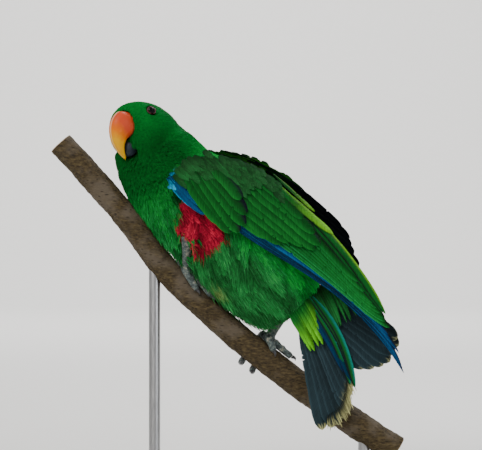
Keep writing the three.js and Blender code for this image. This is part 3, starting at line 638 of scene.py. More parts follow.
# Wing sheet: distance along the wing, height above its line, lift off the body. The near wing's
# line starts at its root and slopes down to the rear. The sheet leans in over the back, where it
# draws in by a share of its half width at full height. The far wing mirrors it, turned a little
WING_ROOT = np.array([-55.7, 0.0, 272.3])
WING_SLOPE = math.radians(43.1)
WING_LEAN = math.radians(8)
WING_HEIGHT = 63.0
WING_DROP = 0.72
FAR_TURN = math.radians(-3.2)
WING_ALONG = np.array([math.cos(WING_SLOPE), 0.0, -math.sin(WING_SLOPE)])
WING_UP = np.array([math.sin(WING_SLOPE), 0.0, math.cos(WING_SLOPE)])
BODY_SIDE = -math.sin(WING_LEAN) * WING_UP + np.array([0.0, -math.cos(WING_LEAN), 0.0])
# Half the bird's width under the wing by distance along it, then smoothed in steps of 2 mm
GIRTH_AT = (-10, 0, 20, 50, 90, 130, 170, 210, 265)
GIRTH = (32, 35.5, 39.5, 41.5, 41, 37.5, 31.5, 24.5, 15)
SMOOTHED = 21
HALF_AT = np.arange(-40.0, 300.0, 2.0)
HALF_WIDTH = np.convolve(
    np.interp(np.arange(-60.0, 320.0, 2.0), GIRTH_AT, GIRTH), np.ones(SMOOTHED) / SMOOTHED,
    mode="valid")[:len(HALF_AT)]


def wing_point(distance, height, mirror):
    distance, height = np.broadcast_arrays(
        np.asarray(distance, dtype=float), np.asarray(height, dtype=float))
    half = np.interp(distance, HALF_AT, HALF_WIDTH)
    depth = half * (1 - WING_DROP * (height / WING_HEIGHT) ** 2) + height * math.sin(WING_LEAN)
    place = WING_ROOT + distance[..., None] * WING_ALONG + height[..., None] * WING_UP
    place[..., 1] -= depth
    if mirror > 0:
        return place
    over = (place - WING_ROOT) @ BODY_SIDE
    place = place - 2 * over[..., None] * BODY_SIDE - WING_ROOT
    turned = place.copy()
    turned[..., 0] = place[..., 0] * math.cos(FAR_TURN) + place[..., 2] * math.sin(FAR_TURN)
    turned[..., 2] = place[..., 2] * math.cos(FAR_TURN) - place[..., 0] * math.sin(FAR_TURN)
    return turned + WING_ROOT


def wing_sheet(mirror):
    """The sheet of the near wing (1) or the far wing (-1)."""
    def sheet(distance, height, lift):
        step = 0.5
        place = wing_point(distance, height, mirror)
        along = wing_point(np.asarray(distance) + step, height, mirror) - place
        upward = wing_point(distance, np.asarray(height) + step, mirror) - place
        out = unit(np.cross(along, upward)) * mirror
        return place + out * np.asarray(lift)[..., None]
    return sheet


# Tail sheet: a flat fan seen from below, as x, z and lift towards the near side
TAIL = {"x": 62.0, "y": -9.0, "z": 172.0, "fall": 0.12, "swing": 0.06}
TAIL_OUT = unit(np.array([TAIL["swing"], -1.0, TAIL["fall"]]))


def tail_sheet(x, z, lift):
    x, z, lift = np.broadcast_arrays(
        np.asarray(x, dtype=float), np.asarray(z, dtype=float), np.asarray(lift, dtype=float))
    y = TAIL["y"] + TAIL["fall"] * (z - TAIL["z"]) + TAIL["swing"] * (x - TAIL["x"])
    return np.stack([x, y, z], axis=-1) + lift[..., None] * TAIL_OUT


# Materials: shared node groups and finishes

def node(tree, kind, **settings):
    """A new node with its settings, and the values of its inputs by name."""
    made = tree.nodes.new(kind)
    for key, value in settings.items():
        if key == "inputs":
            for name, given in value.items():
                made.inputs[name].default_value = given
        else:
            setattr(made, key, value)
    return made


def link(tree, source, output, target, entry):
    tree.links.new(source.outputs[output], target.inputs[entry])


def new_group(name, inputs, outputs):
    """A node group with its sockets, and its input and output nodes."""
    tree = bpy.data.node_groups.new(name, "ShaderNodeTree")
    for label, kind, default in inputs:
        socket = tree.interface.new_socket(label, in_out="INPUT", socket_type=kind)
        if default is not None:
            socket.default_value = default
    for label, kind in outputs:
        tree.interface.new_socket(label, in_out="OUTPUT", socket_type=kind)
    return tree, tree.nodes.new("NodeGroupInput"), tree.nodes.new("NodeGroupOutput")


def math_node(tree, operation, *given):
    """A maths node whose inputs are numbers or (node, output) pairs."""
    made = node(tree, "ShaderNodeMath", operation=operation)
    for socket, value in zip(made.inputs, given):
        if isinstance(value, tuple):
            tree.links.new(value[0].outputs[value[1]], socket)
        else:
            socket.default_value = value
    return made


def attribute(tree, name):
    return node(tree, "ShaderNodeAttribute", attribute_name=name)


def noise(tree, place, output, **inputs):
    """Noise over the places that a node gives."""
    made = node(tree, "ShaderNodeTexNoise", inputs=inputs)
    link(tree, place, output, made, "Vector")
    return made


def object_noise(tree, **inputs):
    """Noise over the piece's own coordinates."""
    return noise(tree, node(tree, "ShaderNodeTexCoord"), "Object", **inputs)


def ramp(tree, source, output, *stops):
    """A colour ramp through stops: each a place and a colour, or a place and a grey value."""
    made = node(tree, "ShaderNodeValToRGB")
    link(tree, source, output, made, "Fac")
    elements = made.color_ramp.elements
    while len(elements) > len(stops):
        elements.remove(elements[-1])
    while len(elements) < len(stops):
        elements.new(0.5)
    for element, (place, shade) in zip(elements, stops):
        element.position = place
        colours = (shade, shade, shade) if isinstance(shade, (int, float)) else shade
        element.color = (*colours, 1.0)
    return made


def times(shade, share):
    return tuple(share * c for c in shade)


def mix_colours(tree, factor, first, second, mode="MIX"):
    """Mixes (node, output) pairs or plain colours. The result is output 2."""
    made = node(tree, "ShaderNodeMix", data_type="RGBA", blend_type=mode)
    for socket, given in ((0, factor), (6, first), (7, second)):
        if isinstance(given, tuple) and isinstance(given[0], bpy.types.Node):
            tree.links.new(given[0].outputs[given[1]], made.inputs[socket])
        elif socket == 0:
            made.inputs[0].default_value = given
        else:
            made.inputs[socket].default_value = (*given, 1.0)
    return made


def barb_group(name):
    """Slanting barbs on a vane, from its place across and along in millimetres."""
    tree, source, sink = new_group(
        name,
        (("Vane", "NodeSocketVector", None), ("Spacing", "NodeSocketFloat", 0.9),
         ("Slant", "NodeSocketFloat", 1.1)),
        (("Height", "NodeSocketFloat"), ("Streak", "NodeSocketFloat")))
    parts = node(tree, "ShaderNodeSeparateXYZ")
    link(tree, source, "Vane", parts, "Vector")
    side = math_node(tree, "ABSOLUTE", (parts, "X"))
    slant = math_node(tree, "MULTIPLY", (side, 0), (source, "Slant"))
    run = math_node(tree, "SUBTRACT", (parts, "Y"), (slant, 0))
    turns = math_node(tree, "DIVIDE", (run, 0), (source, "Spacing"))
    phase = math_node(tree, "MULTIPLY", (turns, 0), math.tau)
    wave = math_node(tree, "SINE", (phase, 0))
    across = math_node(tree, "MULTIPLY", (parts, "X"), 0.12)
    place = node(tree, "ShaderNodeCombineXYZ")
    link(tree, run, 0, place, "X")
    link(tree, across, 0, place, "Y")
    link(tree, parts, "Z", place, "Z")
    streak = noise(tree, place, 0, Scale=1.3, Detail=3.0)
    ridge = math_node(tree, "MULTIPLY", (wave, 0), 0.3)
    height = math_node(tree, "ADD", (streak, "Fac"), (ridge, 0))
    link(tree, height, 0, sink, "Height")
    link(tree, streak, "Fac", sink, "Streak")
    return tree


def tone_group(name):
    """Varies a feather's colour from streak to streak, with a slow change over the bird."""
    tree, source, sink = new_group(
        name,
        (("Colour", "NodeSocketColor", (0.02, 0.2, 0.02, 1)), ("Streak", "NodeSocketFloat", 0.5),
         ("Contrast", "NodeSocketFloat", 0.9)),
        (("Colour", "NodeSocketColor"),))
    slow = object_noise(tree, Scale=45.0, Detail=2.0)
    drift = math_node(tree, "MULTIPLY_ADD", (slow, "Fac"), 0.5, 0.75)
    centred = math_node(tree, "SUBTRACT", (source, "Streak"), 0.5)
    scaled = math_node(tree, "MULTIPLY", (centred, 0), (source, "Contrast"))
    shade = math_node(tree, "ADD", (scaled, 0), (drift, 0))
    scale = node(tree, "ShaderNodeVectorMath", operation="SCALE")
    link(tree, source, "Colour", scale, 0)
    link(tree, shade, 0, scale, "Scale")
    link(tree, scale, 0, sink, "Colour")
    return tree


def horn_group(name):
    """Growth lines and fine scratches of horn, from object coordinates."""
    tree, source, sink = new_group(
        name, (("Scale", "NodeSocketFloat", 700.0),),
        (("Height", "NodeSocketFloat"), ("Blotch", "NodeSocketFloat")))
    fine = object_noise(tree, Detail=4.0, Distortion=0.6)
    link(tree, source, "Scale", fine, "Scale")
    broad = object_noise(tree, Scale=130.0, Detail=3.0)
    link(tree, fine, "Fac", sink, "Height")
    link(tree, broad, "Fac", sink, "Blotch")
    return tree


def scale_group(name):
    """Small flat scales with dark joints, from object coordinates."""
    tree, source, sink = new_group(
        name, (("Size", "NodeSocketFloat", 650.0),),
        (("Height", "NodeSocketFloat"), ("Blotch", "NodeSocketFloat")))
    place = node(tree, "ShaderNodeTexCoord")
    cells = node(tree, "ShaderNodeTexVoronoi", feature="DISTANCE_TO_EDGE")
    link(tree, place, "Object", cells, "Vector")
    link(tree, source, "Size", cells, "Scale")
    flat = math_node(tree, "MULTIPLY", (cells, "Distance"), 4.0)
    flat.use_clamp = True
    blotch = object_noise(tree, Scale=330.0, Detail=3.0)
    link(tree, flat, 0, sink, "Height")
    link(tree, blotch, "Fac", sink, "Blotch")
    return tree


GROUPS = {"Barbs": barb_group, "Tone": tone_group, "Horn": horn_group, "Scales": scale_group}


def grouped(tree, name, **inputs):
    """Places a shared node group, which is built at its first use."""
    made = node(tree, "ShaderNodeGroup")
    made.node_tree = bpy.data.node_groups.get(name) or GROUPS[name](name)
    for entry, value in inputs.items():
        made.inputs[entry].default_value = value
    return made


def start_material(name, roughness, specular=0.5):
    """A new material with its node tree and shader."""
    made = bpy.data.materials.new(name)
    made.use_nodes = True
    shader = made.node_tree.nodes["Principled BSDF"]
    shader.inputs["Roughness"].default_value = roughness
    shader.inputs["Specular IOR Level"].default_value = specular
    return made, made.node_tree, shader


def bump(tree, shader, source, output, strength, distance):
    made = node(tree, "ShaderNodeBump", inputs={"Strength": strength, "Distance": distance})
    link(tree, source, output, made, "Height")
    link(tree, made, "Normal", shader, "Normal")


def coloured(tree, shader, source, output, *stops):
    """Colours the surface through a ramp."""
    link(tree, ramp(tree, source, output, *stops), "Color", shader, "Base Color")


def roughened(tree, shader, source, low, high):
    rough = node(tree, "ShaderNodeMapRange", inputs={"To Min": low, "To Max": high})
    link(tree, source, "Fac", rough, "Value")
    link(tree, rough, "Result", shader, "Roughness")


def plumage_material(name, gloss, spacing, slant, contrast, relief):
    """Feathers with barbs so many millimetres apart, streaked and in low relief."""
    made, tree, shader = start_material(name, 0.55, gloss)
    barbs = grouped(tree, "Barbs", Spacing=spacing, Slant=slant)
    link(tree, attribute(tree, "vane"), "Vector", barbs, "Vane")
    tone = grouped(tree, "Tone", Contrast=contrast)
    link(tree, attribute(tree, "tint"), "Color", tone, "Colour")
    link(tree, barbs, "Streak", tone, "Streak")
    link(tree, tone, "Colour", shader, "Base Color")
    bump(tree, shader, barbs, "Height", 0.5, relief)
    return made


def horn_material(name, scale, low, high, roughness, strength, relief, specular=0.5):
    """Horn or bare skin that wanders between two colours, each with its place on the ramp."""
    made, tree, shader = start_material(name, roughness, specular)
    horn = grouped(tree, "Horn", Scale=scale)
    coloured(tree, shader, horn, "Blotch", low, high)
    bump(tree, shader, horn, "Height", strength, relief)
    return made


# Markings and painted shade, the same for skin and coat

# Pale tuft on the near side of the belly, and the bright strands of the crimson flank
TUFT = (0.22, 0.24, 0.07)
FLANK_LIGHT = (0.42, 0.02, 0.04)


def side_sheet_place(places):
    """Distance along and height over the wing's line of places on the bird's side."""
    gone = places - WING_ROOT
    return gone @ WING_ALONG, gone @ WING_UP


def beak_reach(places):
    """Distance of places from the middle of the beak's base."""
    return np.linalg.norm(places - on_head(*BEAK_BASE, 0.0), axis=-1)


def flank_share(places):
    """How far inside the crimson patch places are: over 0.5 is inside."""
    along, over = side_sheet_place(places)
    swirl = 2.2 * np.sin(places[:, 0] * 0.55 + places[:, 2] * 0.3) + 1.6 * np.sin(
        places[:, 2] * 0.9 - places[:, 0] * 0.2)
    limit = np.interp(along, *FLANK) + swirl
    inside = ease(-5.0, 5.0, over - limit) * ease(14, 22, along) * ease(68, 60, along)
    return inside * (over < 12) * (np.abs(places[:, 1]) > 6)


def markings_and_painted_shade(places, crimson):
    """Feather colour and bright strand colour for places on the skin, with painted shade on the lower
    face and under the wing's bend.
    """
    look = bpy.context.scene.parrot_plumage
    reach = beak_reach(places)
    along, over = side_sheet_place(places)
    colours = mix(look.crown, look.nape, ease(44, 84, reach))
    # Painted shade: the lower face is darkened towards the cheek colour
    cheek_shade = ease(324, 300, places[:, 2]) * ease(32, 14, over) * (1 - ease(58, 86, reach))
    colours = mix(colours, look.cheek_shade, cheek_shade * 0.85)
    colours = mix(colours, look.breast, ease(10, -14, over) * ease(48, 72, reach))
    colours = mix(colours, look.belly, ease(20, 70, along) * ease(14, -6, over))
    # Painted shadow: the coat under the wing's bend, above the crimson patch, is darkened nearly to
    # black
    painted_shadow_under_wing = ease(6, 12, along) * ease(38, 26, along) * ease(-15, -9, over)
    colours = colours * (1 - 0.85 * painted_shadow_under_wing * (over < 4))[:, None]
    tuft = np.exp(-((along - 85) / 6) ** 2 - ((over + 41) / 2.6) ** 2) * (places[:, 1] < 0)
    colours = mix(colours, TUFT, 0.8 * tuft)
    colours = mix(colours, look.flank, crimson)
    light = mix(np.asarray(look.crown) * 1.3, look.breast_light, ease(48, 80, reach))
    light = mix(light, FLANK_LIGHT, crimson)
    return colours, light


def lie_at(places, normals):
    """Which way the coat lies at places on the skin: away from the beak on the head, and by the
    nearest entries of the table on the body."""
    table = np.array(LIE)
    gaps = (places[:, None, 0] - table[None, :, 0]) ** 2
    gaps += (places[:, None, 2] - table[None, :, 1]) ** 2
    weight = 1.0 / (gaps + 60.0) ** 1.5
    flat = weight @ table[:, 2:] / weight.sum(axis=1, keepdims=True)
    body = np.stack([flat[:, 0], np.zeros(len(flat)), flat[:, 1]], axis=-1)
    away = unit(places - on_head(BEAK_BASE[0] - 4, BEAK_BASE[1] + 2, 0.0))
    lie = mix(away, unit(body), ease(42, 78, beak_reach(places)))
    return unit(lie - normals * np.sum(lie * normals, axis=-1, keepdims=True))


def part_of(places):
    """Which part each place is in: 0 head, 1 neck, 2 breast, 3 belly, 4 rump."""
    number = np.zeros(len(places), dtype=int)
    for (x0, z0), (x1, z1) in PARTINGS:
        below = (x1 - x0) * (places[:, 2] - z0) - (z1 - z0) * (places[:, 0] - x0) < 0
        number += below
    return number


def unwrapped(places):
    """Places on the skin as a flat map: turn round the body and distance along it."""
    along, over = side_sheet_place(places)
    spine = np.interp(along, (-60, 0, 80, 190), (14, 4, -2, 0))
    turn = np.arctan2(places[:, 1] + 3, over - spine) / math.tau + 0.5
    down = np.clip((along + 75) / 275, 0, 1)
    return 0.02 + 0.96 * np.stack([turn, down], axis=-1)


def spread_out(places, space, draw):
    """Picks places in random order that keep at least a space between them."""
    taken = {}
    kept = []
    near = [(i, j, k) for i in (-1, 0, 1) for j in (-1, 0, 1) for k in (-1, 0, 1)]
    squared = space * space
    spots = places.tolist()
    cells = np.floor(places / space).astype(int).tolist()
    for i in draw.permutation(len(places)).tolist():
        x, y, z = spots[i]
        a, b, c = cells[i]
        clear = all(
            (p - x) ** 2 + (q - y) ** 2 + (r - z) ** 2 >= squared for u, v, w in near
            for p, q, r in taken.get((a + u, b + v, c + w), ()))
        if clear:
            taken.setdefault((a, b, c), []).append((x, y, z))
            kept.append(i)
    return np.array(kept)


def scattered(mesh, density, draw):
    """Random places on a mesh with their smooth normals, so many to each square millimetre."""
    places, normals = vertex_arrays(mesh)
    corners = triangle_array(mesh)
    a, b, c = (places[corners[:, k]] for k in range(3))
    areas = np.linalg.norm(np.cross(b - a, c - a), axis=1) / 2
    count = int(areas.sum() * density)
    chosen = draw.choice(len(corners), count, p=areas / areas.sum())
    u = draw.random(count)
    v = draw.random(count)
    flip = u + v > 1
    u[flip] = 1 - u[flip]
    v[flip] = 1 - v[flip]
    w = 1 - u - v
    picked = corners[chosen]
    spots = sum(s[:, None] * places[picked[:, k]] for k, s in enumerate((w, u, v)))
    lies = sum(s[:, None] * normals[picked[:, k]] for k, s in enumerate((w, u, v)))
    return spots, unit(lies)


class PARROT_OT_skin(bpy.types.Operator):
    """One closed skin for head, neck, trunk and thighs, inside the solids by the coat's depth"""
    bl_idname = "parrot.skin"
    bl_label = "Skin"

    def execute(self, context):
        skin = joined_copy(FLESH, "skin")
        remeshed(skin, 0.0013, 0.0005, 24)
        places, normals = vertex_arrays(skin.data)
        depth = 0.5 + np.interp(beak_reach(places), (20, 45, 90), (1.0, 1.4, 2.6))
        places = places - normals * depth[:, None]
        move_to(skin.data, places)
        tint, _ = markings_and_painted_shade(places, ease(0.4, 0.6, flank_share(places)))
        set_tint(skin.data, tint * 0.8)
        vane = np.zeros_like(places)
        vane[:, 1] = np.sum(places * lie_at(places, normals), axis=1)
        set_attribute(skin.data, "vane", "FLOAT_VECTOR", "vector", vane)
        bpy.ops.object.shade_smooth()
        down = plumage_material("Down", 0.0, 1.2, 0.0, 0.8, 0.0004)
        finish_piece(skin, down, FLESH)
        return {"FINISHED"}


def coat_roots(skin, part, number, draw):
    """Roots of the small feathers on one part of the skin."""
    space = COAT[part]["space"]
    places, normals = scattered(skin.data, 5.0 / space ** 2, draw)
    inside = part_of(places) == number
    places, normals = places[inside], normals[inside]
    kept = spread_out(places, space, draw)
    places, normals = places[kept], normals[kept]
    lie = lie_at(places, normals)
    clear = np.ones(len(places), dtype=bool)
    for mirror in (1, -1):
        clear &= np.linalg.norm(places - eye_centre(mirror), axis=1) > EYE_CLEARANCE
    covers = [tree_of(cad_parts[name].data) for name in COVERS]
    solids = [(tree_of(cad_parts[name].data), gap) for name, gap in CLEARANCE.items()]
    length = np.interp(beak_reach(places), REACH, LENGTHS)
    tips = places + lie * (length * 0.9)[:, None]
    along, _ = side_sheet_place(places)
    for i in np.flatnonzero(clear):
        root = Vector(places[i])
        tip = Vector(tips[i])
        out = Vector(normals[i])
        hidden = along[i] > 6 and any(
            tree.ray_cast(root + out, out, COVER_REACH)[0]
            and tree.ray_cast(tip + out, out, COVER_REACH)[0] for tree in covers)
        near = any(
            tree.find_nearest(tip, gap)[0] or tree.find_nearest(root, gap)[0]
            for tree, gap in solids)
        clear[i] = not (hidden or near)
    places, normals, lie = places[clear], normals[clear], lie[clear]
    crimson = flank_share(places) + draw.uniform(-0.35, 0.35, len(places))
    tint, light = markings_and_painted_shade(places, ease(0.44, 0.56, crimson))
    return {
        "place": places, "normal": normals, "lie": lie, "tint": tint, "light": light,
        "patch": unwrapped(places),
    }


def clumped(roots, size, soft, draw):
    """Gathers loose feathers into clumps that rise to their ends and part, with painted shade at each
    clump's base and sides and painted light towards its end.
    """
    places = roots["place"]
    centres = spread_out(places, size, draw)
    gaps = places[:, None] - places[centres][None]
    ahead = np.sum(gaps * roots["lie"][centres][None], axis=-1)
    aside = np.sqrt(np.maximum(np.sum(gaps ** 2, axis=-1) - ahead ** 2, 0.0))
    mine = np.argmin((ahead / 2.0) ** 2 + aside ** 2, axis=1)
    pick = np.arange(len(places))
    rise = np.clip(ahead[pick, mine] / (0.9 * size), -1.0, 1.0)
    edge = np.clip(aside[pick, mine] / (0.42 * size), 0.0, 1.0) ** 2
    turn = (draw.normal(0, 0.16, len(centres))[mine] * soft)[:, None]
    tone = draw.normal(1.0, 0.07, len(centres))[mine]
    roots["lie"] = unit(roots["lie"] + np.cross(roots["normal"], roots["lie"]) * turn)
    # Painted shade and light: darker at each clump's base and sides, lighter towards its end; each
    # clump's tone also differs at random
    shade = tone * (0.9 + 0.24 * rise) * (1.12 - 0.56 * edge)
    shade = (1.0 + soft * (shade - 1.0))[:, None]
    roots["tint"] = roots["tint"] * shade
    roots["light"] = roots["light"] * shade
    return 1.0 - soft * (0.2 - 0.22 * rise + 0.1 * edge)


class PARROT_OT_coat(bpy.types.Operator):
    """Small overlapping feathers and loose barbs over the skin, part by part"""
    bl_idname = "parrot.coat"
    bl_label = "Coat"

    def execute(self, context):
        skin = bpy.data.objects["skin"]
        tree = tree_of(skin.data)
        look = plumage_material("Body feathers", 0.03, 0.7, 0.8, 1.4, 0.0003)
        velvet = plumage_material("Head feathers", 0.015, 0.5, 0.8, 0.5, 0.0001)
        for number, (part, sizes) in enumerate(COAT.items()):
            draw = np.random.default_rng(40 + number)
            roots = coat_roots(skin, part, number, draw)
            reach = beak_reach(roots["place"])
            head = part == "head"
            along, over = side_sheet_place(roots["place"])
            under = ease(0.1, -0.5, roots["normal"][:, 2])
            # How strongly feathers gather into clumps and lift, and how much painted shade falls at
            # their roots and between clumps
            soft = ease(50, 95, reach) * (0.2 + 0.8 * ease(26, 4, over))
            lift = clumped(roots, sizes["clump"], soft, draw) if sizes["clump"] else 1.0
            shape = dict(
                sizes, length=np.interp(reach, REACH, LENGTHS),
                width=np.interp(reach, REACH, WIDTHS), soft=soft,
                depth=sizes["depth"] * np.interp(reach, (16, 30), (0.5, 1.0)) * lift,
                hang=5.0 * under * ease(150, 125, along),
                camber=0.05 if head else 0.18)
            vanes = Vanes()
            small_feathers(vanes, roots, tree, shape, draw)
            coat = vanes.build("coat_" + part)
            finish_piece(coat, velvet if head else look)
        return {"FINISHED"}


# Wings: rows of long feathers, as paint, count, roots and tips along and over the wing's line,
# seed of the random draws, and sizes
NEAR_ROWS = (
    ("primary", 9, [[32, 1], [62, 12]], [[261.5, 14], [254, 19], [244, 24], [230, 28]], 3, dict(
        width=(6.0, 8.0), root_lift=(1.6, 2.4), tip_lift=(0.6, 1.8), tilt=(1.5, 1.9),
        bow=(1.5, 1.5), hook=(15.0, 5.0), blunt=0.78, point=1.5, rings=30)),
    ("secondary", 10, [[50, 15], [64, 47]], [[226, 33], [221, 35], [211, 37.5], [180, 43]], 17,
     dict(width=(9.8, 9.4), root_lift=(2.4, 3.6), tip_lift=(2.2, 4.6), tilt=(2.4, 2.4),
          bow=(4.0, 1.0), blunt=0.84, point=1.8, rings=26)),
    ("long_tertial", 2, [[66, 51], [68, 53.5]], [[213, 37.5], [216, 39.5]], 23, dict(
        width=(7.5, 7.5), root_lift=(4.6, 5.2), tip_lift=(4.2, 4.8), tilt=(1.6, 1.6),
        bow=(5.4, 6.4), blunt=0.8, point=1.6, rings=26)),
    ("tertial", 2, [[56, 53], [64, 57.5]], [[137, 55.6], [112, 58.5]], 29, dict(
        width=(6.4, 3.4), root_lift=(6.0, 6.6), tip_lift=(6.2, 6.4), tilt=(1.2, 1.2),
        bow=(-1.5, 0.0), blunt=0.8, point=1.8, rings=18)),
    ("greater", 8, [[38, 10], [50, 47]], [
        [99, 19], [110, 23], [115, 29], [130, 35], [133, 40], [127, 45], [108, 49]], 31, dict(
            width=(12.5, 11.5), root_lift=(4.4, 4.8), tip_lift=(4.9, 6.2), tilt=(2.0, 2.0),
            bow=(1.0, 2.0), blunt=0.78, point=2.0, rings=18)),
    ("median", 6, [[8, 10], [15, 28]], [[62, 1], [76, 2], [78, 9], [73, 18], [59, 25]], 47,
     dict(width=(11.5, 11.5), root_lift=(5.4, 5.8), tip_lift=(6.8, 7.4), tilt=(1.4, 1.4),
          bow=(-1.0, 2.0), blunt=0.74, point=2.2, rings=16)),
    ("alula", 4, [[1, -2.5], [3, 2]], [[43, -4.8], [44, -3.8], [46, -2.6], [40, 0]], 59, dict(
        width=(4.4, 5.6), root_lift=(4.0, 5.0), tip_lift=(4.4, 5.4), tilt=(0.8, 0.8),
        bow=(-2.6, -0.5), blunt=0.7, point=1.6, rings=14, loose=(1.0, 0.2))),
)
FAR_ROWS = (
    ("far_primary", 8, [[32, -1], [60, 8]], [[249, 2], [229, 8], [206, 14]], 5, dict(
        width=(8.5, 11.0), root_lift=(1.6, 2.4), tip_lift=(0.6, 1.8), tilt=(1.5, 1.9),
        bow=(8.0, 6.0), blunt=0.8, point=1.6, rings=28)),
    ("far_secondary", 9, [[48, 9], [60, 47]], [[193, 17], [186, 29], [165, 43], [146, 51]], 19,
     dict(width=(13.0, 14.0), root_lift=(2.2, 3.4), tip_lift=(2.0, 4.0), tilt=(2.0, 2.0),
          bow=(5.0, 3.0), blunt=0.88, point=2.4, rings=24)),
    ("far_tertial", 4, [[18, 30], [28, 38]], [[110, 49], [106, 53], [98, 55]], 27, dict(
        width=(9.0, 8.0), root_lift=(5.4, 6.2), tip_lift=(5.2, 5.8), tilt=(1.6, 1.6),
        bow=(3.0, 2.0), blunt=0.76, point=1.8, rings=20)),
    ("greater", 9, [[30, 3], [42, 41]], [[98, 10], [110, 28], [122, 50]], 37, dict(
        width=(13.0, 14.0), root_lift=(4.4, 4.6), tip_lift=(4.8, 6.0), tilt=(2.0, 2.0),
        bow=(1.0, 3.0), blunt=0.8, point=2.2, rings=18)),
    ("median", 7, [[10, 1], [22, 35]], [[78, 1], [72, 16], [76, 32], [88, 48]], 49, dict(
        width=(13.0, 12.0), root_lift=(5.0, 5.4), tip_lift=(5.4, 6.0), tilt=(2.0, 2.0),
        bow=(0.0, 2.0), blunt=0.76, point=2.2, rings=16)),
)


def wing_paint(kind):
    """Colours of one row of wing feathers, by place across and along each, with painted shade towards
    the roots and covered sides.
    """
    look = bpy.context.scene.parrot_plumage
    wing = np.asarray(look.wing)
    inner_web = np.asarray(look.inner)

    def paint(across, along, feather, draw):
        lower_edge = ease(-0.8, -0.97, across)
        inner = ease(0.1, 0.5, across)
        share = feather["share"]
        if kind == "primary":
            bright = 0.6 * ease(-0.3, -0.6, across) + 0.4 * ease(0.5, 0.3, along) * (share > 0.3)
            base = mix(look.primary, look.primary_edge, bright)
            base = mix(base, inner_web, np.maximum(ease(-0.82, -0.93, across), inner))
        elif kind == "far_primary":
            base = mix(inner_web, look.primary, 0.4 * lower_edge)
        elif kind == "far_secondary":
            base = mix(inner_web, wing * 0.5, ease(0.35, 0.1, along) * 0.6)
        elif kind == "alula":
            base = mix(look.primary, look.primary_edge, 0.3 * ease(0.6, -0.4, across))
            base = mix(base, look.bend, ease(-0.5, -0.8, across) * (1.0 if share < 0.3 else 0.1))
            base = mix(base, inner_web, ease(-0.3, 0.4, across) * (share < 0.7))
        elif kind == "tertial":
            base = mix(wing, look.wing_edge, ease(0.35, 1.0, along) * 0.75)
            base = mix(base, look.wing_edge, ease(0.4, 0.8, across) * 0.5)
            base = mix(base, inner_web, ease(-0.6, -0.95, across) * 0.8)
        elif kind == "far_tertial":
            base = mix(wing * 1.5, look.wing_edge, ease(0.55, 0.95, across) * 0.3)
        elif kind == "long_tertial":
            base = mix(wing * 1.2, look.wing_edge, ease(0.35, 0.8, across))
            base = mix(base, inner_web, ease(-0.5, -0.85, across))
        elif kind == "secondary":
            # Painted shade: darker towards the root
            base = wing * (0.9 + 0.35 * ease(0.2, 1.0, along))[:, None]
            base = mix(base, (0.02, 0.24, 0.06), lower_edge * (0.6 if share < 0.25 else 0.22))
            base = mix(base, inner_web, inner)
        else:
            # Painted highlight on the exposed lower edge; the rear web is a dark colour, deepened as
            # painted shadow beside the next feather
            base = mix(wing, wing * 1.35, 0.6 * lower_edge)
            dark_web_and_shadow = ease(0.1, 0.6, across) if kind == "median" else ease(0.45, 0.9, across)
            base = mix(base, inner_web * np.array([3.0, 1.0, 3.0]), dark_web_and_shadow * 0.9)
        # Painted shade: each feather darkens towards its root; coverts and secondaries also darken
        # towards the side that the next feather covers and lighten at their exposed lower edge
        shade = 0.8 + 0.3 * along
        if kind in ("greater", "median", "secondary"):
            bright = 1.2 if kind == "secondary" else 1.4
            shade = shade * (bright - 0.75 * ease(-0.95, -0.1, across))
        return base * shade[:, None] * draw.normal(1.0, 0.11)
    return paint


def small_coverts(near):
    """Rows of small scale-like feathers over the bend, the shoulder and the top of a wing."""
    draw = np.random.default_rng(71 if near else 73)
    rows = []

    def add(kind, distance, height, length, width, lift, climb):
        sunk = 0.0 if near else np.interp(distance, (0, 40, 80), (6.0, 4.0, 0.0))
        place = np.array([distance, height - sunk]) + draw.normal(0, 0.9, 2)
        rows.append({
            "kind": kind, "root": place, "width": width * draw.uniform(0.88, 1.12),
            "tip": place + np.array([length * draw.uniform(0.8, 1.25), draw.normal(0.3, 1.4)]),
            "root_lift": lift, "tip_lift": lift + climb + draw.normal(0, 0.12),
        })

    for height in np.arange(-6.0, 12.0, 1.7):
        start = np.interp(height, (-6, 0, 12), (6.0, 1.0, 0.0))
        for step in (2.4, 0.0):
            add("bend", start + step, height, 5.0, 3.0, 4.4 + 0.1 * step, 0.4)
    for row, distance in enumerate(np.arange(3.0, 48.0, 4.4)):
        low = np.interp(distance, (3, 12, 24, 46), (4, 14, 22, 32))
        high = np.interp(distance, (0, 10, 28, 50), (16, 30, 42, 48))
        for height in np.arange(low + (row % 2) * 1.8, high, 3.6):
            add("lesser", distance, height, 14.0, 5.4, 6.6, 0.35)
    for row, distance in enumerate(np.arange(1.0, 74.0, 4.2)):
        top = np.interp(distance, (0, 10, 28, 50, 80), (19, 33, 44, 51, 54))
        for step in range(3 if distance < 52 else 2):
            add("scapular", distance, top - 3.8 * step - (row % 2) * 1.6, 12.0, 5.4, 6.6, 0.5)
    for feather in rows:
        feather.update({
            "tilt": 0.25, "bow": 0.4, "blunt": 0.42, "point": 1.6, "rings": 8, "camber": 0.02,
            "narrow": 0.5, "flip": near, "seed": int(draw.integers(1 << 30)),
        })
    return rows


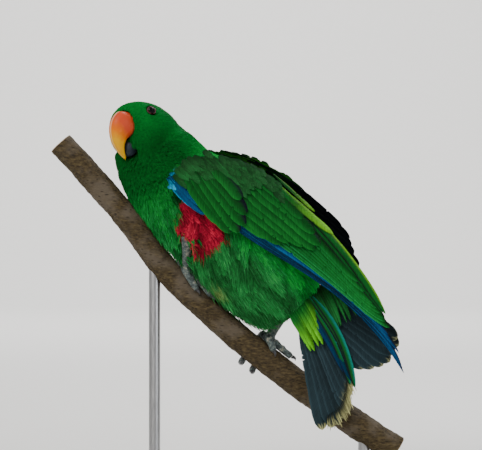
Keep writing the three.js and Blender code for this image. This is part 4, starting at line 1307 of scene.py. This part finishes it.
def covert_paint(kind, near):
    """Colours of one kind of small covert, with painted shade towards root and edges, and painted
    light on the far wing, whose coverts are made brighter.
    """
    look = bpy.context.scene.parrot_plumage
    # Painted light: the far wing's coverts, which face away from the lights, are painted brighter
    strength = 1.0 if near else 1.8

    def paint(across, along, feather, draw):
        if kind == "bend":
            fade = float(ease(3.0, 9.0, feather["root"][1]))
            # Painted shade: darker towards the root
            base = mix(np.asarray(look.bend) * 0.4, look.bend, ease(0.1, 0.8, along))
            return mix(base, look.wing, np.full(len(across), fade)) * draw.normal(1.0, 0.3)
        scaly = 0.9 if kind == "lesser" else 0.72
        base = np.asarray(look.wing) * scaly * strength + np.array([0.005, 0.0, 0.007])
        # Painted shade: darker towards the root and at the side edges, where the coverts overlap
        shade = 0.56 + 0.54 * ease(0.1, 0.8, along) - 0.2 * ease(0.6, 1.0, np.abs(across))
        return base * shade[:, None] * draw.normal(1.0, 0.16)
    return paint


class PARROT_OT_wings(bpy.types.Operator):
    """Both folded wings, feather by feather: flight feathers, rows of coverts and alula"""
    bl_idname = "parrot.wings"
    bl_label = "Wings"

    def execute(self, context):
        look = plumage_material("Wing feathers", 0.05, 0.9, 1.1, 1.7, 0.0005)
        for name, near, rows in (("wing_left", True, NEAR_ROWS), ("wing_right", False, FAR_ROWS)):
            vanes = Vanes(cells=20)
            sheet = wing_sheet(1 if near else -1)
            for kind, count, roots, tips, seed, spans in rows:
                for feather in tier(count, roots, tips, seed, flip=near, **spans):
                    long_feather(vanes, sheet, feather, wing_paint(kind))
            for feather in small_coverts(near):
                long_feather(vanes, sheet, feather, covert_paint(feather["kind"], near))
            finish_piece(vanes.build(name + "_feathers"), look, (name,))
        return {"FINISHED"}


# Tail rows, as x and z on the tail sheet
FAN_REAR = dict(
    width=(16.0, 16.0), root_lift=(-1.2, -1.2), tip_lift=(-2.2, -2.2), tilt=(1.5, 1.5),
    bow=(0.0, 0.0), blunt=0.86, point=1.8, rings=30, camber=0.03)
FAN_FRONT = dict(FAN_REAR, width=(14.0, 11.0), root_lift=(1.0, 1.4), tip_lift=(0.6, 0.8))
FRAY_ROW = dict(
    FAN_REAR, width=(1.6, 1.3), root_lift=(1.8, 1.8), tip_lift=(1.0, 1.4), blunt=0.3, rings=8,
    splits=0, loose=(1.6, 1.8))
STRIP_ROW = dict(
    FAN_REAR, width=(5.0, 6.0), root_lift=(7.4, 6.6), tip_lift=(2.8, 2.4), bow=(2.0, 8.0),
    blunt=0.8, rings=24)
UNDERTAIL_ROW = dict(
    width=(6.5, 7.0), root_lift=(8.0, 8.0), tip_lift=(5.0, 5.4), tilt=(1.0, 1.0),
    bow=(2.0, 2.0), blunt=0.55, point=1.6, rings=16, camber=0.08)
SIDETAIL_ROW = dict(
    width=(4.0, 5.0), root_lift=(6.4, 4.6), tip_lift=(3.4, 2.8), tilt=(1.0, 1.0),
    bow=(2.0, 1.0), blunt=0.4, point=1.4, rings=14, camber=0.08)
UPPERTAIL_ROW = dict(
    width=(13.0, 14.0), root_lift=(-5.6, -5.6), tip_lift=(-4.2, -4.2), tilt=(1.0, 1.0),
    bow=(0.0, 0.0), blunt=0.7, point=2.0, rings=18, camber=-0.06)
# Each piece: finish, the CAD node it stands for, and its rows as paint, count, roots, tips, seed
# of the random draws, and sizes
TAIL_PIECES = (
    ("tail_feathers", "tail_plumage", "tail", (
        ("fan_rear", 7, [[61, 170], [63, 180]],
         [[112, 105.5], [124, 106.5], [134, 112], [140.5, 122], [141.5, 131]], 71, FAN_REAR),
        ("fan_front", 8, [[57, 160], [61, 172]],
         [[76, 52.5], [87, 57], [94.5, 65], [98.5, 77], [100.5, 90]], 76, FAN_FRONT),
        ("fray", 26, [[80, 66], [90, 74], [95, 90], [97, 106]],
         [[81, 53.5], [95, 60], [101, 73], [102.5, 90]], 78, FRAY_ROW),
        ("strip", 5, [[56, 164], [60, 174]], [[97, 100], [101, 92], [103, 89]], 72, STRIP_ROW))),
    ("undertail_feathers", "wing_plumage", "undertail_coverts", (
        ("undertail", 4, [[45, 154], [49, 160]], [[67, 120.5], [68.5, 121], [63, 129]], 83,
         UNDERTAIL_ROW),
        ("undertail", 4, [[50, 164], [55, 172]], [[74, 124.5], [75, 127], [72, 137]], 86,
         UNDERTAIL_ROW),
        ("side", 14, [[60, 172], [84, 188]], [[76, 146], [86, 140], [96, 144], [106, 152]], 89,
         SIDETAIL_ROW))),
    ("uppertail_feathers", "wing_plumage", "uppertail_coverts", (
        ("upper", 9, [[54, 160], [64, 180]], [[72, 117], [84, 113], [96, 124], [105, 141]], 97,
         UPPERTAIL_ROW),)),
)


def tail_paint(kind):
    """Colours of one row of tail feathers or coverts, by place across and along each, with painted
    shade where feathers overlap.
    """
    look = bpy.context.scene.parrot_plumage
    slate = np.asarray(look.tail)
    wing = np.asarray(look.wing)

    def paint(across, along, feather, draw):
        share = feather["share"]
        if kind in ("fan_rear", "fan_front"):
            # Painted shade: lighter on one side of each feather and darker on the side that the next
            # feather covers
            base = mix(slate * 1.25, slate * 0.7, ease(-0.5, 0.3, across))
            base = mix(base, slate * 4.0, ease(0.1, 0.02, np.abs(across)) * 0.5)
            base = mix(base, slate * 4.0, ease(-0.94, -0.99, across) * 0.4)
            ragged = along + 0.02 * np.sin(across * 11 + share * 40)
            if kind == "fan_rear":
                base = mix(base, look.tail_tip, ease(0.975, 1.0, ragged) * 0.5)
            else:
                fringe = ease(0.86, 1.0, ragged + 0.08 * across) * ease(0.3, 0.6, share)
                end = ease(0.965, 1.0, ragged)
                base = mix(base, look.tail_tip, np.maximum(0.4 * fringe, 0.8 * end))
        elif kind == "fray":
            base = mix(slate, look.tail_tip, ease(0.1, 0.7, along))
            return base * draw.uniform(0.45, 1.15)
        elif kind == "strip":
            base = mix(wing * 1.15, look.tail_edge, ease(0.0, 0.75, across))
            base = mix(base, slate * 0.5, ease(-0.2, -0.7, across))
            base = mix(base, look.primary, 0.8 * (share < 0.4) * np.ones(len(across)))
        elif kind == "undertail":
            base = mix(wing, look.undertail, ease(0.2, 0.85, along))
            # Painted shade: lighter on one side and darker on the side that the next covert covers
            base = base * (1.55 - 0.95 * ease(-0.7, 0.5, across))[:, None]
        elif kind == "side":
            # Painted shade: darker at the root and at the edges, as dark gaps between the feathers
            base = mix(wing * 0.4, np.asarray(look.belly), ease(0.1, 0.8, along))
            base = mix(base, look.inner, 0.75 * ease(0.3, 0.9, np.abs(across)))
        else:
            # Painted shade: darker towards the root
            base = wing * (0.7 + 0.5 * along)[:, None]
        return base * draw.normal(1.0, 0.12)
    return paint


class PARROT_OT_tail(bpy.types.Operator):
    """Tail fan, the coverts under and over it and the green side feathers"""
    bl_idname = "parrot.tail"
    bl_label = "Tail"

    def execute(self, context):
        look = plumage_material("Tail feathers", 0.06, 1.0, 1.2, 1.2, 0.0004)
        soft = bpy.data.materials["Wing feathers"]
        for name, slot, stands_for, rows in TAIL_PIECES:
            vanes = Vanes(cells=8)
            for kind, count, roots, tips, seed, sizes in rows:
                for feather in tier(count, roots, tips, seed, flip=True, **sizes):
                    long_feather(vanes, tail_sheet, feather, tail_paint(kind))
            finish = look if slot == "tail_plumage" else soft
            finish_piece(vanes.build(name), finish, (stands_for,))
        return {"FINISHED"}


# Beak sections in the head's frame: ridge back and height, edge back and height, half width. Then
# the tips, as back and height
UPPER_BEAK = (
    (25, 326.6, 28, 309, 7.8), (12.0, 327.8, 22.2, 306.5, 9.2), (5.8, 322.9, 19.0, 305, 8.9),
    (2.9, 316.5, 17.2, 303.6, 8.2), (2.6, 309, 15.8, 301, 7.2), (4.4, 302, 15.0, 297.6, 5.9),
    (7.9, 296, 15.4, 294.3, 4.6), (12.4, 291, 16.6, 291, 3.0), (16.5, 287.2, 18, 288.4, 1.5),
)
LOWER_BEAK = (
    (33, 300, 27, 305.5, 4.4), (30, 294, 22, 304.5, 6.2), (26.4, 290.4, 17.6, 302.5, 7.3),
    (22.6, 289.0, 15.6, 299.4, 6.8), (19.6, 288.9, 15.8, 293.8, 4.6),
)
UPPER_TIP = (18.3, 285.9)
LOWER_TIP = (18.4, 290)
# Power that makes the bill's sections a little fuller than an ellipse when it is under 1
BILL_ROUNDING = 0.9


def beak_shell(sections, tip, rings, sides, name):
    """A smooth closed bill through its sections, ending in a point."""
    t = np.linspace(0, 1, rings)
    table = curve_through(sections, t)
    ridge = on_head(table[:, 0], table[:, 1], 0.0)
    edge = on_head(table[:, 2], table[:, 3], 0.0)
    middle = edge + (ridge - edge) * 0.3
    angle = np.arange(sides) * math.tau / sides
    upper_half = np.sin(angle) >= 0
    across = np.sign(np.cos(angle)) * np.abs(np.cos(angle)) ** BILL_ROUNDING
    height = np.abs(np.sin(angle)) ** BILL_ROUNDING
    up = np.where(
        upper_half[None, :, None], (ridge - middle)[:, None], (edge - middle)[:, None])
    points = middle[:, None] + up * height[None, :, None] + HEAD_SIDE * (
        table[:, 4, None] * across[None])[..., None]
    points = np.concatenate([points.reshape(-1, 3), on_head(*tip, 0.0).reshape(1, 3)])
    mesh = bpy.data.meshes.new(name)
    mesh.from_pydata((points * MM).tolist(), [], strip_faces(rings, sides).tolist())
    along = np.append(np.repeat(t, sides), 1.0)
    ridge_share = np.append(np.tile(np.where(np.sin(angle) > 0, height, -height), rings), 0.0)
    sideways = np.append(np.tile(across, rings), 0.0)
    set_attribute(
        mesh, "bill", "FLOAT_VECTOR", "vector",
        np.stack([along, ridge_share, sideways], axis=-1))
    item = in_scene(name, mesh)
    select_only(item)
    bpy.ops.object.mode_set(mode="EDIT")
    bpy.ops.mesh.select_all(action="SELECT")
    bpy.ops.mesh.normals_make_consistent(inside=False)
    bpy.ops.object.mode_set(mode="OBJECT")
    bpy.ops.object.shade_smooth()
    return item


def beak_material():
    bare = bpy.context.scene.parrot_bare
    made, tree, shader = start_material("Upper bill", 0.34, 0.09)
    parts = node(tree, "ShaderNodeSeparateXYZ")
    link(tree, attribute(tree, "bill"), "Vector", parts, "Vector")
    horn = grouped(tree, "Horn", Scale=900.0)
    wander = math_node(tree, "MULTIPLY_ADD", (horn, "Blotch"), 0.16, (parts, "X"))
    shade = ramp(
        tree, wander, 0, (0.34, bare.beak_base), (0.52, (0.62, 0.14, 0.003)),
        (0.64, bare.beak_tip), (1.0, (0.70, 0.37, 0.0)))
    pale = ramp(tree, horn, "Blotch", (0.56, 0), (0.75, 0.3))
    blotch = mix_colours(tree, (pale, "Color"), (shade, "Color"), (0.85, 0.25, 0.12))
    # Painted highlight: a pale line along the top of the culmen
    culmen_highlight = ramp(tree, parts, "Y", (0.992, 0), (1.0, 0.4))
    ridge = mix_colours(tree, (culmen_highlight, "Color"), (blotch, 2), (0.9, 0.78, 0.55))
    link(tree, ridge, 2, shader, "Base Color")
    bump(tree, shader, horn, "Height", 0.25, 0.0003)
    return made


def mandible_material():
    shade = bpy.context.scene.parrot_bare.mandible
    return horn_material(
        "Lower bill", 500.0, (0.35, shade), (0.75, times(shade, 3)), 0.4, 0.4, 0.0004, 0.16)


class PARROT_OT_beak(bpy.types.Operator):
    """Upper and lower bill as smooth horn shells"""
    bl_idname = "parrot.beak"
    bl_label = "Beak"

    def execute(self, context):
        upper = beak_shell(UPPER_BEAK, UPPER_TIP, 64, 48, "bill_upper")
        finish_piece(upper, beak_material(), ("beak_upper",))
        lower = beak_shell(LOWER_BEAK, LOWER_TIP, 40, 40, "bill_lower")
        finish_piece(lower, mandible_material(), ("beak_lower",))
        return {"FINISHED"}


# Colours of the pupil and of the eyeball outside the iris
PUPIL = (0.002, 0.002, 0.003)
LIMBUS = (0.004, 0.003, 0.003)
# Angle from the eye's axis, in degrees, at which its drawing ends
EYE_EDGE = 52


def eyeball_material():
    """Pupil, iris and limbus drawn by distance from the eye's own axis."""
    iris = bpy.context.scene.parrot_bare.iris
    made, tree, shader = start_material("Eye", 0.05, 0.12)
    coloured(
        tree, shader, attribute(tree, "ring"), "Fac", (0.0, PUPIL), (0.60, PUPIL),
        (0.66, times(iris, 0.5)), (0.84, times(iris, 0.3)), (0.93, LIMBUS))
    return made


def lid_material():
    shade = bpy.context.scene.parrot_bare.lid
    return horn_material("Lid", 1200.0, (0.3, times(shade, 0.5)), (0.7, shade), 0.5, 0.6, 0.0003)


def eyeball(name, middle, axis, turn):
    """An eyeball with a slight bulge in front, and its distance from the axis for the finish."""
    bpy.ops.object.select_all(action="DESELECT")
    bpy.ops.mesh.primitive_uv_sphere_add(
        segments=48, ring_count=32, radius=EYE["radius"] * MM, location=middle * MM,
        rotation=turn)
    ball = placed(name)
    places, _ = vertex_arrays(ball.data)
    gone = (places - middle) / EYE["radius"]
    ring = np.arccos(np.clip(gone @ axis, -1, 1)) / math.radians(EYE_EDGE)
    set_attribute(ball.data, "ring", "FLOAT", "value", np.clip(ring, 0, 1))
    move_to(ball.data, places + axis * (0.35 * np.clip(1 - ring, 0, 1))[:, None])
    bpy.ops.object.shade_smooth()
    return ball


def eyelids(name, middle, axis, turn):
    """A bare oval ring round the eye, bent over the eyeball and finely wrinkled."""
    bpy.ops.object.select_all(action="DESELECT")
    bpy.ops.mesh.primitive_torus_add(
        major_segments=56, minor_segments=16, major_radius=3.55 * MM, minor_radius=0.6 * MM,
        location=middle * MM, rotation=turn)
    lid = placed(name, (1.06, 0.84, 1.0))
    places, normals = vertex_arrays(lid.data)
    gone = places - middle
    high = gone @ UP
    turns = np.arctan2(gone @ np.cross(axis, UP), high)
    places = places + axis * (0.35 * np.sin(high * 2.4))[:, None]
    move_to(lid.data, places + normals * (0.09 * np.sin(turns * 26))[:, None])
    bpy.ops.object.shade_smooth()
    return lid


class PARROT_OT_eyes(bpy.types.Operator):
    """Both eyeballs with their bare lids"""
    bl_idname = "parrot.eyes"
    bl_label = "Eyes"

    def execute(self, context):
        look = eyeball_material()
        bare_skin = lid_material()
        for name, mirror in (("left", 1), ("right", -1)):
            middle = eye_centre(mirror)
            axis = unit(HEAD_SIDE * mirror + np.array([0.0, 0.0, 0.22]) - HEAD_BACK * 0.12)
            turn = Vector(axis).to_track_quat("Z", "Y").to_euler()
            ball = eyeball("eyeball_" + name, middle, axis, turn)
            finish_piece(ball, look, ("eye_" + name,))
            lid = eyelids("lids_" + name, middle + axis * 3.1, axis, turn)
            finish_piece(lid, bare_skin)
        return {"FINISHED"}


def foot_material():
    shade = bpy.context.scene.parrot_bare.foot
    made, tree, shader = start_material("Foot scales", 0.62)
    scales = grouped(tree, "Scales", Size=620.0)
    worn = ramp(
        tree, scales, "Blotch", (0.36, times(shade, 0.4)), (0.54, shade),
        (0.70, (0.36, 0.35, 0.27)))
    joint = ramp(tree, scales, "Height", (0.0, 0.35), (0.5, 1))
    both = mix_colours(tree, 1.0, (worn, "Color"), (joint, "Color"), "MULTIPLY")
    link(tree, both, 2, shader, "Base Color")
    bump(tree, shader, scales, "Height", 0.9, 0.0005)
    return made


def claw_material():
    shade = bpy.context.scene.parrot_bare.claw
    return horn_material(
        "Claw horn", 900.0, (0.3, shade), (0.8, times(shade, 3)), 0.3, 0.3, 0.0003)


class PARROT_OT_feet(bpy.types.Operator):
    """Feet and toes as one scaled skin each, with horn claws"""
    bl_idname = "parrot.feet"
    bl_label = "Feet"

    def execute(self, context):
        look = foot_material()
        horn = claw_material()
        for side in ("left", "right"):
            names = ["foot_" + side] + [f"toe_{side}_{i}" for i in range(1, 5)]
            foot = joined_copy(names, "foot_skin_" + side)
            remeshed(foot, 0.00045, 0.0002, 4)
            bpy.ops.object.shade_smooth()
            finish_piece(foot, look, names)
            names = [f"claw_{side}_{i}" for i in range(1, 5)]
            claws = joined_copy(names, "claws_" + side)
            soften = claws.modifiers.new("Round", "SUBSURF")
            soften.levels = 2
            soften.render_levels = 2
            apply_modifiers(claws)
            bpy.ops.object.shade_smooth()
            finish_piece(claws, horn, names)
        return {"FINISHED"}


# Cut ends of the branch: the middle of each and the way out of it
BRANCH_ENDS = (
    (np.array([-152.0, 0.0, 301.0]), unit(np.array([-52.0, 0.0, 57.4]))),
    (np.array([140.9, 0.0, 33.9]), unit(np.array([46.1, 0.0, -29.6]))),
)


def bark_material():
    """Brown bark with grey patches and pores along its fibres, and rings on the cut ends."""
    mount = bpy.context.scene.parrot_mount
    made, tree, shader = start_material("Bark", 0.85, 0.25)
    place = node(tree, "ShaderNodeTexCoord")
    grain = node(tree, "ShaderNodeMapping", inputs={
        "Rotation": (0.0, math.radians(-41), 0.0), "Scale": (0.28, 1.0, 1.0)})
    link(tree, place, "Object", grain, "Vector")
    fibre = noise(tree, grain, "Vector", Scale=620.0, Detail=6.0, Roughness=0.7)
    broad = object_noise(tree, Scale=34.0, Detail=5.0)
    pores = node(tree, "ShaderNodeTexVoronoi", feature="F1", inputs={"Scale": 420.0})
    link(tree, grain, "Vector", pores, "Vector")
    shade = ramp(
        tree, fibre, "Fac", (0.32, mount.bark_dark), (0.5, mount.bark),
        (0.72, (0.118, 0.086, 0.036)))
    grey = ramp(tree, broad, "Fac", (0.50, 0), (0.62, 0.7))
    aged = mix_colours(tree, (grey, "Color"), (shade, "Color"), (0.105, 0.084, 0.060))
    spots = ramp(tree, pores, "Distance", (0.12, 0.35), (0.3, 1))
    worn = mix_colours(tree, 1.0, (aged, 2), (spots, "Color"), "MULTIPLY")
    turns = math_node(tree, "MULTIPLY", (attribute(tree, "rings"), "Fac"), 5.2)
    wobble = math_node(tree, "ADD", (turns, 0), (broad, "Fac"))
    rings = math_node(tree, "SINE", (wobble, 0))
    wood = ramp(tree, rings, 0, (0.0, times(mount.wood, 0.7)), (0.9, mount.wood))
    cut = attribute(tree, "cut")
    final = mix_colours(tree, (cut, "Fac"), (worn, 2), (wood, "Color"))
    link(tree, final, 2, shader, "Base Color")
    bump(tree, shader, fibre, "Fac", 0.7, 0.0012)
    return made


class PARROT_OT_branch(bpy.types.Operator):
    """The cut length of branch, with bark relief and bare ends"""
    bl_idname = "parrot.branch"
    bl_label = "Branch"

    def execute(self, context):
        branch = joined_copy(["perch_branch"], "branch")
        remeshed(branch, 0.0011, 0.0, 10)
        places, normals = vertex_arrays(branch.data)
        past = np.max([(places - end) @ way for end, way in BRANCH_ENDS], axis=0)
        facing = np.max([normals @ way for _, way in BRANCH_ENDS], axis=0)
        radial = np.min([
            np.linalg.norm(np.cross(places - end, way), axis=1) for end, way in BRANCH_ENDS],
            axis=0)
        group = branch.vertex_groups.new(name="bark")
        for index, weight in enumerate((1 - ease(-3.0, -1.0, past)).tolist()):
            group.add([index], weight, "REPLACE")
        for label, kind, size, strength in (
                ("Ripple", "CLOUDS", 0.018, 0.0011), ("Furrow", "STUCCI", 0.0035, 0.0006)):
            texture = bpy.data.textures.new(label, kind)
            texture.noise_scale = size
            relief = branch.modifiers.new(label, "DISPLACE")
            relief.texture = texture
            relief.texture_coords = "LOCAL"
            relief.strength = strength
            relief.mid_level = 0.6
            relief.vertex_group = group.name
        apply_modifiers(branch)
        cut = ease(-1.2, -0.5, past) * ease(0.5, 0.8, facing)
        set_attribute(branch.data, "cut", "FLOAT", "value", cut)
        set_attribute(branch.data, "rings", "FLOAT", "value", radial)
        bpy.ops.object.shade_smooth()
        finish_piece(branch, bark_material(), ("perch_branch",))
        return {"FINISHED"}


def paint_material():
    """Satin paint with a fine peel and a little dust."""
    shade = bpy.context.scene.parrot_mount.stand
    made, tree, shader = start_material("Stand paint", 0.5)
    peel = object_noise(tree, Scale=900.0, Detail=2.0)
    dust = object_noise(tree, Scale=22.0, Detail=5.0)
    coloured(tree, shader, dust, "Fac", (0.3, times(shade, 0.93)), (0.7, shade))
    roughened(tree, shader, dust, 0.38, 0.55)
    bump(tree, shader, peel, "Fac", 0.15, 0.0002)
    return made


def steel_material():
    """Steel brushed along the rods."""
    made, tree, shader = start_material("Brushed steel", 0.5)
    stretch = node(tree, "ShaderNodeMapping", inputs={"Scale": (1.0, 1.0, 0.04)})
    link(tree, node(tree, "ShaderNodeTexCoord"), "Object", stretch, "Vector")
    lines = noise(tree, stretch, "Vector", Scale=2600.0, Detail=3.0)
    coloured(tree, shader, lines, "Fac", (0.3, (0.42, 0.42, 0.43)), (0.7, (0.60, 0.60, 0.61)))
    shader.inputs["Metallic"].default_value = 1.0
    roughened(tree, shader, lines, 0.24, 0.42)
    bump(tree, shader, lines, "Fac", 0.1, 0.0001)
    return made


# Height of each rod's foot, and how far a rod reaches into the branch, in metres
FLANGE_HEIGHT = 0.003
ROD_SUNK = 0.006


def base_plate(low, high, corner):
    """A plate that fills its box, with round corners and a soft rim."""
    size = high - low
    bpy.ops.object.select_all(action="DESELECT")
    bpy.ops.mesh.primitive_cube_add(size=1.0, location=(low + high) / 2)
    base = placed("stand_plate", size)
    for part in (*base.data.polygons, *base.data.vertices):
        part.select = False
    for edge in base.data.edges:
        ends = [base.data.vertices[v].co.z for v in edge.vertices]
        edge.select = abs(ends[0] - ends[1]) > size.z / 2
    bpy.ops.object.mode_set(mode="EDIT")
    bpy.ops.mesh.select_mode(type="EDGE")
    bpy.ops.mesh.bevel(offset=corner, segments=14, affect="EDGES")
    bpy.ops.object.mode_set(mode="OBJECT")
    bevelled(base, "Rim", 0.0015, 4, 50)
    bpy.ops.object.shade_smooth_by_angle(angle=math.radians(30))
    return base


def turned_rod(name, x, low, top, radius, flange):
    """A rod that rises from a wider round foot, with soft edges."""
    bpy.ops.object.select_all(action="DESELECT")
    bpy.ops.mesh.primitive_cylinder_add(
        vertices=64, radius=flange, depth=FLANGE_HEIGHT, location=(x, 0, low + FLANGE_HEIGHT / 2))
    rod = placed(name)
    bpy.ops.object.mode_set(mode="EDIT")
    bpy.ops.mesh.select_mode(type="FACE")
    bpy.ops.mesh.select_all(action="DESELECT")
    bpy.ops.object.mode_set(mode="OBJECT")
    for face in rod.data.polygons:
        face.select = face.normal.z > 0.9
    bpy.ops.object.mode_set(mode="EDIT")
    bpy.ops.mesh.inset(thickness=flange - radius)
    bpy.ops.mesh.extrude_region_move(
        TRANSFORM_OT_translate={"value": (0, 0, top - low - FLANGE_HEIGHT)})
    bpy.ops.object.mode_set(mode="OBJECT")
    bevelled(rod, "Edge", 0.0008, 3, 50)
    bpy.ops.object.shade_smooth_by_angle(angle=math.radians(30))
    return rod


class PARROT_OT_stand(bpy.types.Operator):
    """Flat base with rounded corners, and two rods with turned feet"""
    bl_idname = "parrot.stand"
    bl_label = "Stand"

    def execute(self, context):
        mount = context.scene.parrot_mount
        low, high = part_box("stand_base")
        base = base_plate(low, high, mount.corner)
        finish_piece(base, paint_material(), ("stand_base",))
        steel = steel_material()
        bark = tree_of(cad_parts["perch_branch"].data)
        for name in ("stand_rod_front", "stand_rod_rear"):
            low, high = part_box(name)
            x = (low.x + high.x) / 2
            under = bark.ray_cast(Vector((x / MM, 0, 0)), Vector((0, 0, 1)))[0].z * MM
            rod = turned_rod(
                name + "_turned", x, low.z, under + ROD_SUNK, mount.rod, mount.flange)
            finish_piece(rod, steel, (name,))
        return {"FINISHED"}


# Lights in metres: place, the point each shines at, its size and its colour. The settings hold
# their power
BIRD = (0.0, 0.0, 0.21)
LIGHTS = {
    "key": ((-1.1, -1.5, 1.9), BIRD, 1.5, (1.0, 0.98, 0.94)),
    "fill": ((1.7, -1.4, 1.1), BIRD, 1.2, (0.92, 0.96, 1.0)),
    "rim": ((0.5, 0.9, 1.5), BIRD, 0.9, (1.0, 1.0, 1.0)),
    "backdrop": ((0.0, 2.6, 3.4), (0.0, 6.0, 0.6), 2.4, (1.0, 1.0, 1.0)),
}
# The view: the camera's place in metres, and its lens and sensor in millimetres
CAMERA_PLACE = (0.0052, -2.0, 0.2297)
CAMERA_LENS = 171.7
CAMERA_SENSOR = 36.0


def area_light(name, power):
    place, target, size, tint = LIGHTS[name]
    lamp = bpy.data.lights.new(name, "AREA")
    lamp.shape = "DISK"
    lamp.size = size
    lamp.energy = power
    lamp.color = tint
    item = in_scene(name, lamp)
    item.location = place
    item.rotation_euler = (Vector(target) - Vector(place)).to_track_quat("-Z", "Y").to_euler()


def floor_sweep():
    """A floor just under the stand, with a wide round up to its sides."""
    bpy.ops.object.select_all(action="DESELECT")
    bpy.ops.mesh.primitive_plane_add(size=1.0, location=(0, 0, -0.0005))
    floor = placed("floor_sweep", (13.0, 12.0, 1.0))
    bpy.ops.object.mode_set(mode="EDIT")
    bpy.ops.mesh.select_mode(type="EDGE")
    bpy.ops.mesh.select_all(action="SELECT")
    bpy.ops.mesh.region_to_loop()
    bpy.ops.mesh.extrude_edges_move(TRANSFORM_OT_translate={"value": (0, 0, 3.4)})
    bpy.ops.mesh.select_all(action="SELECT")
    bpy.ops.mesh.normals_make_consistent(inside=True)
    bpy.ops.object.mode_set(mode="OBJECT")
    bevelled(floor, "Sweep", 1.6, 20, 30)
    bpy.ops.object.shade_smooth()
    return floor


def backdrop_material(shade):
    made, tree, shader = start_material("Backdrop paper", 0.9)
    fibre = object_noise(tree, Scale=60.0, Detail=4.0)
    coloured(tree, shader, fibre, "Fac", (0.3, times(shade, 0.985)), (0.7, shade))
    return made


def room_light(strength):
    world = bpy.data.worlds.new("Studio")
    world.use_nodes = True
    background = world.node_tree.nodes["Background"]
    background.inputs["Color"].default_value = (0.95, 0.97, 1.0, 1)
    background.inputs["Strength"].default_value = strength
    bpy.context.scene.world = world


def photo_camera():
    lens = bpy.data.cameras.new("photo_view")
    lens.sensor_width = CAMERA_SENSOR
    lens.lens = CAMERA_LENS
    lens.clip_start = 0.05
    camera = in_scene("photo_view", lens)
    camera.location = CAMERA_PLACE
    camera.rotation_euler = (math.radians(90), 0.0, 0.0)
    bpy.context.scene.camera = camera


class PARROT_OT_stage(bpy.types.Operator):
    """Pale floor that sweeps up all round, soft lights and the camera"""
    bl_idname = "parrot.stage"
    bl_label = "Stage"

    def execute(self, context):
        stage = context.scene.parrot_stage
        floor = floor_sweep()
        floor.data.materials.append(backdrop_material(stage.floor))
        for name in LIGHTS:
            area_light(name, getattr(stage, name))
        room_light(stage.ambient)
        photo_camera()
        return {"FINISHED"}


OPERATORS = (
    PARROT_OT_stage, PARROT_OT_skin, PARROT_OT_coat, PARROT_OT_wings, PARROT_OT_tail,
    PARROT_OT_beak, PARROT_OT_eyes, PARROT_OT_feet, PARROT_OT_branch, PARROT_OT_stand,
)
SETTINGS = {
    "parrot_plumage": ParrotPlumage, "parrot_bare": ParrotBare, "parrot_mount": ParrotMount,
    "parrot_stage": ParrotStage,
}


class PARROT_PT_panel(bpy.types.Panel):
    """Pieces and settings of the parrot"""
    bl_idname = "PARROT_PT_panel"
    bl_label = "Parrot"
    bl_space_type = "VIEW_3D"
    bl_region_type = "UI"
    bl_category = "Parrot"

    def draw(self, context):
        for operator in OPERATORS:
            self.layout.operator(operator.bl_idname)
        for setting in SETTINGS:
            box = self.layout.box()
            group = getattr(context.scene, setting)
            for name in group.bl_rna.properties.keys():
                if name not in ("rna_type", "name"):
                    box.prop(group, name)


def register():
    for setting, group in SETTINGS.items():
        bpy.utils.register_class(group)
        setattr(bpy.types.Scene, setting, bpy.props.PointerProperty(type=group))
    for operator in OPERATORS:
        bpy.utils.register_class(operator)
    bpy.utils.register_class(PARROT_PT_panel)


def unregister():
    bpy.utils.unregister_class(PARROT_PT_panel)
    for operator in reversed(OPERATORS):
        bpy.utils.unregister_class(operator)
    for setting, group in SETTINGS.items():
        delattr(bpy.types.Scene, setting)
        bpy.utils.unregister_class(group)


def main():
    register()
    bpy.ops.parrot.stage()
    bpy.ops.parrot.skin()
    bpy.ops.parrot.coat()
    bpy.ops.parrot.wings()
    bpy.ops.parrot.tail()
    bpy.ops.parrot.beak()
    bpy.ops.parrot.eyes()
    bpy.ops.parrot.feet()
    bpy.ops.parrot.branch()
    bpy.ops.parrot.stand()


if __name__ == "__main__":
    main()
